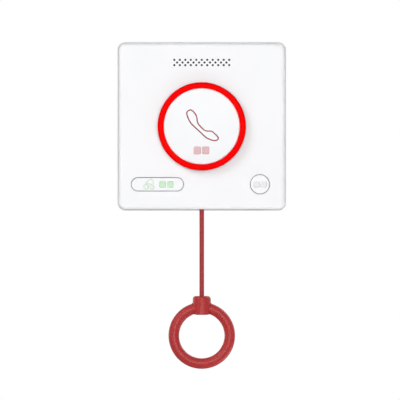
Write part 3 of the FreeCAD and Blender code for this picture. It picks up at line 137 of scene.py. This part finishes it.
def add_lamp(name, place, size, power):
    """A soft square lamp that looks at the panel."""
    data = bpy.data.lights.new(name, "AREA")
    data.shape = "SQUARE"
    data.size = size
    data.energy = power
    lamp = bpy.data.objects.new(name, data)
    lamp.location = place
    towards = Vector(LAMP_AIM) - Vector(place)
    lamp.rotation_euler = towards.to_track_quat("-Z", "Y").to_euler()
    lamp.visible_camera = False
    scene.collection.objects.link(lamp)


def add_floor():
    """A pale round floor well below the hanging handle, so large that no view shows its edge."""
    sides = 96
    verts = [(0, 0, FLOOR_HEIGHT)]
    for step in range(sides):
        angle = 2 * math.pi * step / sides
        x = FLOOR_RADIUS * math.cos(angle)
        y = FLOOR_RADIUS * math.sin(angle)
        verts.append((x, y, FLOOR_HEIGHT))
    faces = [(0, 1 + step, 1 + (step + 1) % sides) for step in range(sides)]
    floor = new_object("floor", verts, faces)
    look = Look("floor_pale")
    grey = look.noise(9, 4)
    look.colour(look.blend(look.span(grey, 0.0, 1.0), (0.9, 0.9, 0.9), (0.93, 0.93, 0.93)))
    look.shine(0.9)
    glow = look.add("ShaderNodeEmission", Color=(1, 1, 1, 1))
    seen = look.add("ShaderNodeLightPath").outputs["Is Camera Ray"]
    look.links.new(look.span(seen, 0.0, FLOOR_GLOW), glow.inputs["Strength"])
    both = look.add("ShaderNodeAddShader")
    look.links.new(look.surface.outputs[0], both.inputs[0])
    look.links.new(glow.outputs[0], both.inputs[1])
    look.links.new(both.outputs[0], look.output.inputs["Surface"])
    floor.data.materials.append(look.material)


# Meshes

def new_object(name, verts, faces):
    """A smooth mesh object at the origin, with its place in its mesh."""
    mesh = bpy.data.meshes.new(name)
    mesh.from_pydata([tuple(v) for v in verts], [], faces)
    mesh.validate()
    mesh.shade_smooth()
    made = bpy.data.objects.new(name, mesh)
    scene.collection.objects.link(made)
    return made


# Materials

STRANDS = 8
BRAID_MAP_LENGTH = 0.06
CORD_RED = (0.355, 0.025, 0.025)
HANDLE_RED = (0.455, 0.034, 0.034)


class Look:
    """One node material: a principled surface whose inputs are driven by textures in metres."""

    def __init__(self, name):
        self.material = bpy.data.materials.new(name)
        self.material.use_nodes = True
        self.nodes = self.material.node_tree.nodes
        self.links = self.material.node_tree.links
        self.surface = self.nodes["Principled BSDF"]
        self.output = self.nodes["Material Output"]
        self.place = self.add("ShaderNodeTexCoord").outputs["Object"]
        self.relief = None

    def add(self, kind, settings=None, **inputs):
        """A node with these settings and input values; an input may also be another's socket."""
        node = self.nodes.new(kind)
        for key, value in (settings or {}).items():
            setattr(node, key, value)
        for key, value in inputs.items():
            self.feed(node.inputs[key.replace("_", " ")], value)
        return node

    def feed(self, socket, value):
        """Joins another node's socket to this one, or sets its value."""
        if isinstance(value, bpy.types.NodeSocket):
            self.links.new(value, socket)
        else:
            socket.default_value = value

    def fix(self, **values):
        """Values that are the same all over the surface."""
        for key, value in values.items():
            self.surface.inputs[key.replace("_", " ")].default_value = value

    def math(self, operation, first, second=0.0):
        node = self.add("ShaderNodeMath", {"operation": operation})
        self.feed(node.inputs[0], first)
        self.feed(node.inputs[1], second)
        return node.outputs[0]

    def axis(self, name, place=None):
        """One coordinate of the place, in metres."""
        return self.add("ShaderNodeSeparateXYZ", Vector=place or self.place).outputs[name]

    def stretched(self, x=1.0, y=1.0, z=1.0, turn=0.0):
        """The place in metres, stretched along each axis and turned about the line of sight."""
        node = self.add("ShaderNodeMapping", Vector=self.place)
        node.inputs["Scale"].default_value = (x, y, z)
        node.inputs["Rotation"].default_value = (0, turn, 0)
        return node.outputs["Vector"]

    def noise(self, scale, detail=2, place=None, rough=0.5):
        node = self.add("ShaderNodeTexNoise", Scale=scale, Detail=detail, Roughness=rough)
        self.feed(node.inputs["Vector"], place or self.place)
        return node.outputs["Fac"]

    def cells(self, scale):
        """Distance from the middle of the nearest cell."""
        node = self.add("ShaderNodeTexVoronoi", {"feature": "F1"}, Scale=scale)
        self.feed(node.inputs["Vector"], self.place)
        return node.outputs["Distance"]

    def stripes(self, scale, direction, place=None):
        """Soft bands across one direction."""
        settings = {"wave_type": "BANDS", "bands_direction": direction}
        node = self.add("ShaderNodeTexWave", settings, Scale=scale)
        self.feed(node.inputs["Vector"], place or self.place)
        return node.outputs["Fac"]

    def span(self, value, low, high, start=0.0, end=1.0):
        """Low to high as the value goes from start to end."""
        node = self.add("ShaderNodeMapRange", Value=value)
        ends = {"From Min": start, "From Max": end, "To Min": low, "To Max": high}
        for key, number in ends.items():
            node.inputs[key].default_value = number
        return node.outputs["Result"]

    def blend(self, share, first, second):
        """A colour between the two, each a colour or a socket."""
        node = self.add("ShaderNodeMix", {"data_type": "RGBA"})
        self.feed(node.inputs[0], share)
        for socket, value in ((node.inputs[6], first), (node.inputs[7], second)):
            self.feed(socket, value if isinstance(value, bpy.types.NodeSocket) else (*value, 1))
        return node.outputs[2]

    def colour(self, value):
        self.feed(self.surface.inputs["Base Color"], value)

    def shine(self, value):
        self.feed(self.surface.inputs["Roughness"], value)

    def bump(self, height, distance):
        """Adds relief of this height in metres on top of what is there."""
        node = self.add("ShaderNodeBump", Strength=1.0, Distance=distance, Height=height)
        if self.relief is not None:
            self.links.new(self.relief, node.inputs["Normal"])
        self.relief = node.outputs["Normal"]
        self.links.new(self.relief, self.surface.inputs["Normal"])


def shade(colour, factor):
    """The colour made darker or lighter."""
    return tuple(min(1.0, part * factor) for part in colour)


def moulded(name, colour, roughness, grain=7000, depth=0.002, mottle=0.03, mirror=0.5):
    """Injection-moulded plastic: a fine spark-eroded grain, faint flow mottling, uneven gloss."""
    look = Look(name)
    flow = look.span(look.noise(45, 3), 0.0, 1.0, 0.3, 0.7)
    look.colour(look.blend(flow, shade(colour, 1 - mottle), colour))
    look.shine(look.span(look.noise(160, 4), roughness - 0.05, roughness + 0.05, 0.3, 0.7))
    look.fix(Specular_IOR_Level=mirror)
    look.bump(look.noise(grain, 2), depth * MM)
    return look


def cap_plastic():
    """Smooth white of the caps, with painted shade on the small buttons' rounded edges and sides,
    where they sink into their gaps.
    """
    white = (0.895, 0.902, 0.917)
    look = moulded("cap_white", white, 0.34, depth=0.001, mottle=0.01, mirror=0.35)
    unshaded_white = look.surface.inputs["Base Color"].links[0].from_socket
    # Painted shade: from just behind the small buttons' faces, the caps turn grey towards the gaps
    # around them.
    painted_gap_shade = look.span(
        look.axis("Y"), 0.0, 0.65, BUTTON_FRONT + 0.03 * MM, BUTTON_FRONT + 0.25 * MM
    )
    look.colour(look.blend(painted_gap_shade, unshaded_white, (0.3, 0.305, 0.31)))
    return look


def light_ring():
    """Red light pipe, lit a little more over each lamp; its outer side is darker."""
    look = Look("signal_red")
    depth = look.axis("Y")
    angle = look.math("ARCTAN2", look.axis("Z"), look.axis("X"))
    lobes = look.math("COSINE", look.math("MULTIPLY", angle, float(RING_LAMPS)))
    flow = look.noise(120, 3)
    lit = look.blend(flow, (0.85, 0.0005, 0.0005), (0.91, 0.001, 0.001))
    out = look.add("ShaderNodeVectorMath", {"operation": "LENGTH"})
    look.feed(out.inputs[0], look.stretched(1, 0, 1))
    radius = out.outputs["Value"]
    front = look.span(depth, 1.0, 0.0, RING_FRONT + 0.8 * MM, RING_FRONT + 1.6 * MM)
    inner = look.span(radius, 1.0, 0.0, RING_INNER + 0.1 * MM, RING_INNER + 0.4 * MM)
    look.colour(look.blend(look.math("MAXIMUM", front, inner), (0.3, 0.008, 0.008), lit))
    glow = look.blend(look.span(lobes, 0.0, 1.0, -1.0, 1.0), (0.2, 0.0, 0.0), (0.26, 0.0, 0.0))
    look.feed(look.surface.inputs["Emission Color"], glow)
    near_front = look.span(depth, 0.4, 0.0, RING_FRONT, RING_FRONT + 0.5 * MM)
    gap_glow = look.math("MULTIPLY", inner, 1.6)
    look.feed(look.surface.inputs["Emission Strength"], look.math("MAXIMUM", near_front, gap_glow))
    look.fix(Specular_IOR_Level=0.01)
    look.shine(look.span(look.noise(300, 3), 0.3, 0.42, 0.3, 0.7))
    look.bump(look.noise(5000, 2), 0.002 * MM)
    return look


def braided(name, colour, around, along):
    """Woven cover of the cord, from an angle and a length along it, both as sockets."""
    look = Look(name)
    turn = look.math("MULTIPLY", around(look), float(STRANDS))
    run = look.math("MULTIPLY", along(look), STRANDS / CORD_RADIUS)
    right = look.math("COSINE", look.math("ADD", turn, run))
    left = look.math("COSINE", look.math("SUBTRACT", turn, run))
    weave = look.math("MULTIPLY", right, left)
    tufts = look.span(weave, 0.0, 1.0, -1.0, 1.0)
    fibre = look.noise(5200, 3, look.stretched(1, 1, 0.35))
    # Painted shade: the valleys between the strands are darker than the strands' tops.
    dark = look.blend(tufts, shade(colour, 0.62), colour)
    look.colour(look.blend(look.span(fibre, 0.0, 1.0, 0.25, 0.75), dark, shade(colour, 1.12)))
    look.shine(look.span(fibre, 0.62, 0.82, 0.3, 0.7))
    look.fix(Sheen_Weight=0.1, Sheen_Roughness=0.5)
    look.bump(tufts, 0.03 * MM)
    look.bump(fibre, 0.012 * MM)
    return look


def angle_about_cord(look):
    depth = look.math("SUBTRACT", look.axis("Y"), CORD_DEPTH)
    return look.math("ARCTAN2", depth, look.axis("X"))


def height_on_cord(look):
    return look.axis("Z")


def on_braid_map(look, axis, size):
    """Angle or length on the braided skin, which keeps them in its map."""
    mapped = look.add("ShaderNodeUVMap", {"uv_map": "braid"}).outputs["UV"]
    return look.math("MULTIPLY", look.axis(axis, mapped), size)


def angle_from_map(look):
    return on_braid_map(look, "X", 2 * math.pi)


def length_from_map(look):
    return on_braid_map(look, "Y", BRAID_MAP_LENGTH)


def circuit_board():
    """Green solder mask over copper tracks, with rows of plated pads."""
    look = Look("circuit_green")
    turned = look.add("ShaderNodeMapping", Vector=look.stretched(1, 0, 1))
    turned.inputs["Rotation"].default_value = (math.radians(90), 0, 0)
    node = look.add("ShaderNodeTexBrick", Scale=190.0, Mortar_Size=0.035, Mortar_Smooth=0.2)
    look.feed(node.inputs["Vector"], turned.outputs["Vector"])
    node.inputs["Color1"].default_value = (0, 0, 0, 1)
    node.inputs["Color2"].default_value = (0, 0, 0, 1)
    node.inputs["Mortar"].default_value = (1, 1, 1, 1)
    tracks = node.outputs["Color"]
    pads = look.add("ShaderNodeTexVoronoi", {"feature": "F1"}, Scale=240.0, Randomness=0.55)
    look.feed(pads.inputs["Vector"], turned.outputs["Vector"])
    is_pad = look.math("LESS_THAN", pads.outputs["Distance"], 0.16)
    mask = look.blend(look.noise(60, 3), (0.015, 0.16, 0.07), (0.025, 0.22, 0.1))
    with_tracks = look.blend(tracks, mask, (0.05, 0.34, 0.16))
    look.colour(look.blend(is_pad, with_tracks, (0.83, 0.72, 0.42)))
    look.shine(look.span(is_pad, 0.32, 0.22))
    look.feed(look.surface.inputs["Metallic"], look.span(is_pad, 0.0, 0.85))
    look.bump(tracks, 0.02 * MM)
    return look


def drawn_metal(name, colour, direction, roughness):
    """Plated or ground metal with fine lines in one direction."""
    look = Look(name)
    place = look.stretched(*[1.0 if axis == direction else 14.0 for axis in "XYZ"])
    lines = look.noise(220, 4, place, 0.7)
    look.colour(look.blend(lines, shade(colour, 0.85), shade(colour, 1.1)))
    look.shine(look.span(lines, roughness - 0.08, roughness + 0.1, 0.3, 0.7))
    look.fix(Metallic=1.0)
    look.bump(lines, 0.006 * MM)
    return look


def foam():
    """Open black foam."""
    look = Look("foam_black")
    pores = look.cells(2600)
    look.colour(look.blend(pores, (0.012, 0.012, 0.013), (0.05, 0.05, 0.052)))
    look.shine(0.95)
    look.bump(pores, 0.12 * MM)
    return look


def woven_mesh():
    """Dust cloth: two sets of fine threads with darker holes between them."""
    look = Look("mesh_black")
    warp = look.stripes(520, "X")
    weft = look.stripes(520, "Z")
    threads = look.math("MAXIMUM", warp, weft)
    look.colour(look.blend(threads, (0.004, 0.004, 0.005), (0.024, 0.025, 0.027)))
    look.shine(look.span(threads, 0.9, 0.6))
    look.bump(threads, 0.03 * MM)
    return look


def cone_film():
    """Pressed film of the speaker's cone, with faint ribs."""
    look = Look("cone_black")
    ribs = look.stripes(380, "X", look.stretched(1, 1, 1, math.radians(30)))
    look.colour(look.blend(ribs, (0.018, 0.018, 0.02), (0.05, 0.05, 0.055)))
    look.shine(look.span(look.noise(400, 3), 0.3, 0.5))
    look.bump(ribs, 0.03 * MM)
    return look


def silicone():
    """Pale soft rubber that lets a little light in."""
    look = moulded("silicone", (0.72, 0.73, 0.74), 0.6, 2500, 0.003, 0.05)
    look.fix(Subsurface_Weight=0.2, Subsurface_Scale=1.5 * MM, Sheen_Weight=0.15)
    return look


def lamp_lens():
    """Small lamps: a pale yellow phosphor window in a white body."""
    look = Look("lamp_clear")
    glow = look.noise(700, 2)
    look.colour(look.blend(glow, (0.9, 0.78, 0.3), (0.96, 0.92, 0.75)))
    look.shine(look.span(glow, 0.12, 0.22))
    look.fix(Coat_Weight=0.6, Coat_Roughness=0.08)
    look.bump(glow, 0.01 * MM)
    return look


def capacitor_sleeve():
    """Dark blue sleeve with a pale stripe down one side."""
    look = Look("capacitor_blue")
    stripe = look.math("LESS_THAN", look.axis("Z"), CAPACITOR_STRIPE)
    base = look.blend(look.noise(300, 3), (0.02, 0.03, 0.1), (0.03, 0.045, 0.14))
    look.colour(look.blend(stripe, base, (0.55, 0.58, 0.62)))
    look.shine(look.span(look.noise(800, 3), 0.2, 0.32))
    look.fix(Coat_Weight=0.3, Coat_Roughness=0.15)
    look.bump(look.noise(1500, 2), 0.01 * MM)
    return look


def ink(name, colour):
    """Screen-printed ink: slightly uneven cover with a faint mesh in its relief."""
    look = Look(name)
    cover = look.noise(1500, 3)
    share = look.span(cover, 0.0, 1.0, 0.3, 0.7)
    look.colour(look.blend(share, shade(colour, 0.94), shade(colour, 1.04)))
    look.shine(look.span(cover, 0.45, 0.58, 0.3, 0.7))
    look.bump(look.stripes(2400, "DIAGONAL"), 0.002 * MM)
    return look


LOOKS = {
    "cover_white": moulded("cover_white", (0.935, 0.942, 0.955), 0.45, mottle=0.012, mirror=0.3),
    "cap_white": cap_plastic(),
    "frame_grey": moulded("frame_grey", (0.7, 0.71, 0.72), 0.55, depth=0.003, mottle=0.06),
    "housing_white": moulded("housing_white", (0.8, 0.8, 0.79), 0.5, depth=0.003, mottle=0.05),
    "signal_red": light_ring(),
    "handle_red": moulded("handle_red", HANDLE_RED, 0.38, depth=0.0003, mottle=0.06, mirror=0.22),
    "cord_red": braided("cord_red", CORD_RED, angle_about_cord, height_on_cord),
    "circuit_green": circuit_board(),
    "chip_black": moulded("chip_black", (0.025, 0.025, 0.026), 0.55, depth=0.003, mottle=0.3),
    "switch_black": moulded("switch_black", (0.035, 0.035, 0.038), 0.42, mottle=0.25),
    "plunger_white": moulded("plunger_white", (0.8, 0.8, 0.77), 0.4, mottle=0.04),
    "steel": drawn_metal("steel", (0.62, 0.62, 0.64), "X", 0.32),
    "contact_brass": drawn_metal("contact_brass", (0.84, 0.66, 0.34), "Y", 0.25),
    "silicone": silicone(),
    "foam_black": foam(),
    "mesh_black": woven_mesh(),
    "cone_black": cone_film(),
    "magnet_grey": drawn_metal("magnet_grey", (0.34, 0.34, 0.36), "Z", 0.42),
    "lamp_clear": lamp_lens(),
    "terminal_green": moulded("terminal_green", (0.06, 0.36, 0.16), 0.38, mottle=0.12),
    "capacitor_blue": capacitor_sleeve(),
    "slider_white": moulded("slider_white", (0.82, 0.82, 0.8), 0.35, mottle=0.04),
}


def dress_cad_nodes():
    """Gives every CAD node the material of its slot in the record."""
    for part in frame["record"]["subparts"]:
        slots = frame["nodes"][part["node"]].data.materials
        slots.clear()
        slots.append(LOOKS[part["material_slot"]].material)


# The return spring and the silicone collar, copied whole from their CAD nodes

# Each piece's node, slot and joint, its fixed end, and its length in mm at rest and at the limit.
YIELDING = (
    {
        "name": "return_coil",
        "node": "pull_spring",
        "slot": "steel",
        "joint": "cord_pull",
        "axis": (0, 0, 1),
        "anchor": (0, CORD_DEPTH, BUSH_TOP),
        "lengths": (6.6, 2.6),
    },
    {
        "name": "return_collar",
        "node": "call_return_pad",
        "slot": "silicone",
        "joint": "call_press",
        "axis": (0, 1, 0),
        "anchor": (0, BOARD_FRONT, 0),
        "lengths": (5.82, 4.62),
    },
)


def let_give_way():
    """Copies the return spring and the silicone collar, attaches the copies to the terminal's body
    and hides the CAD nodes.
    """
    for row in YIELDING:
        solid = frame["nodes"][row["node"]]
        piece = bpy.data.objects.new(row["name"], solid.data.copy())
        scene.collection.objects.link(piece)
        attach(piece, "terminal")
        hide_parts(row["node"])
        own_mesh(piece)


# The braided cord

def cord_line():
    """Points on the cord's smooth line, from inside the bush down into the handle's neck."""
    heights = (CORD_TOP, BUSH_MOUTH, -56.0 * MM, -74.0 * MM, KNOT_IN_NECK)
    curve = bpy.data.curves.new("cord_route", "CURVE")
    curve.dimensions = "3D"
    curve.resolution_u = 75
    spline = curve.splines.new("NURBS")
    spline.points.add(len(heights) - 1)
    for point, height in zip(spline.points, heights):
        point.co = (0, CORD_DEPTH, height, 1)
    spline.order_u = 3
    spline.use_endpoint_u = True
    holder = bpy.data.objects.new("cord_route", curve)
    scene.collection.objects.link(holder)
    bpy.context.view_layer.update()
    line = bpy.data.meshes.new_from_object(holder)
    points = [vertex.co.copy() for vertex in line.vertices]
    bpy.data.objects.remove(holder)
    return points


def strand_height(turn, run):
    """Height of the braid's surface, 0 to 1, from the two sets of crossing strands."""
    right = turn + run
    left = turn - run
    over_right = 0.6 + 0.4 * math.cos(left)
    over_left = 0.6 - 0.4 * math.cos(right)
    return max(abs(math.cos(right / 2)) * over_right, abs(math.cos(left / 2)) * over_left)


def hang_cord():
    """A tube whose skin shows the crossing strands of a round braid."""
    path = cord_line()
    sides = 48
    base = 1.155 * MM
    rise = 0.045 * MM
    verts = []
    faces = []
    along = 0.0
    lengths = []
    for number, centre in enumerate(path):
        if number:
            along += (centre - path[number - 1]).length
        lengths.append(along)
        for side in range(sides):
            angle = 2 * math.pi * side / sides
            height = strand_height(angle * STRANDS, along * STRANDS / CORD_RADIUS)
            radius = base + rise * height
            verts.append(centre + Vector((math.cos(angle), math.sin(angle), 0)) * radius)
    for row in range(len(path) - 1):
        for side in range(sides):
            a = row * sides + side
            b = row * sides + (side + 1) % sides
            faces.append((a, a + sides, b + sides, b))
    verts += [path[0], path[-1]]
    for side in range(sides):
        following = (side + 1) % sides
        last = (len(path) - 1) * sides
        faces.append((len(verts) - 2, side, following))
        faces.append((len(verts) - 1, last + following, last + side))
    cord = new_object("hanging_cord", verts, faces)
    layer = cord.data.uv_layers.new(name="braid")
    for polygon in cord.data.polygons:
        sides_here = [cord.data.loops[i].vertex_index % sides for i in polygon.loop_indices]
        wraps = max(sides_here) - min(sides_here) > sides / 2
        for loop_index, side in zip(polygon.loop_indices, sides_here):
            row = min(cord.data.loops[loop_index].vertex_index // sides, len(path) - 1)
            share = 1.0 if wraps and side == 0 else side / sides
            layer.data[loop_index].uv = (share, lengths[row] / BRAID_MAP_LENGTH)
    look = braided("cord_braid", CORD_RED, angle_from_map, length_from_map)
    cord.data.materials.append(look.material)
    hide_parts("pull_cord")
    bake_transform(cord)


# Printed signs, which lie on the caps and follow their faces

class Printer:
    """Lays thin ink shapes, drawn in millimetres as seen from the front, on one cap."""

    INK = 0.03 * MM
    SINK = 0.04 * MM
    IN_FRONT = -0.1

    def __init__(self, node, body, look):
        cap = frame["nodes"][node]
        self.tree = BVHTree.FromObject(cap, bpy.context.evaluated_depsgraph_get())
        self.body = body
        self.look = look

    def on_cap(self, x, z, lift):
        """The place on the cap's face behind this one, lifted off it towards the front."""
        start = Vector((x * MM, self.IN_FRONT, z * MM))
        hit = self.tree.ray_cast(start, Vector((0, 1, 0)))[0]
        return (start.x, hit.y - lift, start.z)

    def finish(self, name, verts, faces):
        made = new_object(name, verts, faces)
        made.data.materials.append(self.look.material)
        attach(made, self.body)
        return made

    def line(self, name, points, width):
        """A closed line of even width."""
        verts = []
        count = len(points)
        for number, (x, z) in enumerate(points):
            before = points[number - 1]
            after = points[(number + 1) % count]
            dx = after[0] - before[0]
            dz = after[1] - before[1]
            length = math.hypot(dx, dz)
            across = (-dz / length * width / 2, dx / length * width / 2)
            for side in (-1, 1):
                for lift in (self.INK, -self.SINK):
                    verts.append(self.on_cap(x + across[0] * side, z + across[1] * side, lift))
        faces = []
        for number in range(count):
            a = number * 4
            b = (number + 1) % count * 4
            faces.append((a, b, b + 2, a + 2))
            faces.append((a + 1, a + 3, b + 3, b + 1))
            faces.append((a, a + 1, b + 1, b))
            faces.append((a + 2, b + 2, b + 3, a + 3))
        return self.finish(name, verts, faces)

    def fields(self, name, places, width, height, corner):
        """Rounded fields side by side, as one piece."""
        verts = []
        faces = []
        for place in places:
            self.add_field(verts, faces, place, rounded_field(width, height, corner))
        return self.finish(name, verts, faces)

    def add_field(self, verts, faces, place, edge):
        """One closed field: rings from its edge to its middle in front, a plain back."""
        first = len(verts)
        count = len(edge)
        rings = (1.0, 0.7, 0.4)
        for lift, scales in ((self.INK, rings), (-self.SINK, (1.0,))):
            for scale in scales:
                for x, z in edge:
                    verts.append(self.on_cap(place[0] + x * scale, place[1] + z * scale, lift))
            verts.append(self.on_cap(place[0], place[1], lift))
        middle = first + count * len(rings)
        back = middle + 1
        back_middle = back + count
        for step in range(count):
            following = (step + 1) % count
            for ring in range(len(rings) - 1):
                a = first + ring * count
                faces.append((a + step, a + count + step, a + count + following, a + following))
            inner = first + (len(rings) - 1) * count
            faces.append((inner + step, middle, inner + following))
            faces.append((first + step, first + following, back + following, back + step))
            faces.append((back + step, back + following, back_middle))


def rounded_field(width, height, corner):
    """Outline of a rounded rectangle about the origin."""
    points = []
    steps = 4
    turns = ((1, 1, 0), (-1, 1, 90), (-1, -1, 180), (1, -1, 270))
    for right, up, start in turns:
        for step in range(steps + 1):
            angle = math.radians(start + step * 90 / steps)
            x = (width / 2 - corner) * right + corner * math.cos(angle)
            z = (height / 2 - corner) * up + corner * math.sin(angle)
            points.append((x, z))
    return points


def smooth_loop(points, steps=6):
    """A closed smooth curve through points (Catmull-Rom)."""
    made = []
    count = len(points)
    for number in range(count):
        a, b, c, d = [points[(number + shift) % count] for shift in (-1, 0, 1, 2)]
        for step in range(steps):
            t = step / steps
            weights = (
                (-t + 2 * t**2 - t**3) / 2,
                (2 - 5 * t**2 + 3 * t**3) / 2,
                (t + 4 * t**2 - 3 * t**3) / 2,
                (-(t**2) + t**3) / 2,
            )
            made.append(
                tuple(sum(w * p[axis] for w, p in zip(weights, (a, b, c, d))) for axis in (0, 1))
            )
    return made


def ring_of(x, z, radius, count=20):
    angles = [2 * math.pi * step / count for step in range(count)]
    return [(x + radius * math.cos(angle), z + radius * math.sin(angle)) for angle in angles]


# Outlines on the caps, in mm from the panel's middle, as seen from the front.
HANDSET = [
    (-7.6, 6.1), (-7.4, 7.5), (-5.9, 8.4), (-4.6, 7.8), (-3.1, 6.0), (-2.5, 4.3),
    (-2.3, 2.5), (-1.6, 1.0), (-0.3, -0.5), (1.1, -1.8), (2.7, -2.4), (4.5, -2.4),
    (5.8, -3.0), (8.2, -5.4), (8.3, -6.5), (7.3, -7.2), (5.6, -7.1), (3.8, -6.5),
    (2.1, -5.6), (-0.9, -2.8), (-4.3, 0.3), (-5.7, 1.9), (-6.7, 3.6),
]
SERVICE_LEAF = [
    (-28.5, -29.0), (-27.6, -28.1), (-26.5, -27.2), (-25.5, -27.1), (-24.9, -27.9), (-24.8, -29.0),
    (-25.6, -29.5), (-27.1, -29.3),
]


def print_signs():
    """Plain stand-ins for the printed signs: a handset outline, a service sign and word fields."""
    red = ink("ink_red", (0.34, 0.06, 0.065))
    pale_red = ink("ink_pale_red", (0.76, 0.48, 0.5))
    green = ink("ink_green", (0.57, 0.83, 0.58))
    pale_green = ink("ink_pale_green", (0.64, 0.83, 0.66))
    grey = ink("ink_grey", (0.82, 0.83, 0.84))
    call = Printer("call_button_cap", "call_button", red)
    call.line("call_handset_print", smooth_loop(HANDSET), 0.66)
    word = Printer("call_button_cap", "call_button", pale_red)
    word.fields("call_word_print", [(-2.25, -12.3), (2.05, -12.3)], 3.7, 4.1, 0.7)
    service = Printer("service_button_cap", "service_button", pale_green)
    service.line("service_leaf_print", smooth_loop(SERVICE_LEAF), 0.5)
    service.line("service_loop_print", ring_of(-28.4, -30.8, 1.15), 0.5)
    service.line("service_small_loop_print", ring_of(-25.4, -31.1, 0.95), 0.5)
    service_word = Printer("service_button_cap", "service_button", green)
    service_word.fields("service_word_print", [(-20.1, -29.6), (-16.1, -29.6)], 3.4, 3.4, 0.8)
    cancel = Printer("cancel_button_cap", "cancel_button", grey)
    cancel.fields("cancel_word_print", [(28.0, -29.6), (31.65, -29.6)], 3.4, 3.1, 0.8)


scene.view_settings.view_transform = "Standard"
place_camera()
white_background()
for lamp in LAMPS:
    add_lamp(*lamp)
add_floor()
dress_cad_nodes()
let_give_way()
hang_cord()
print_signs()
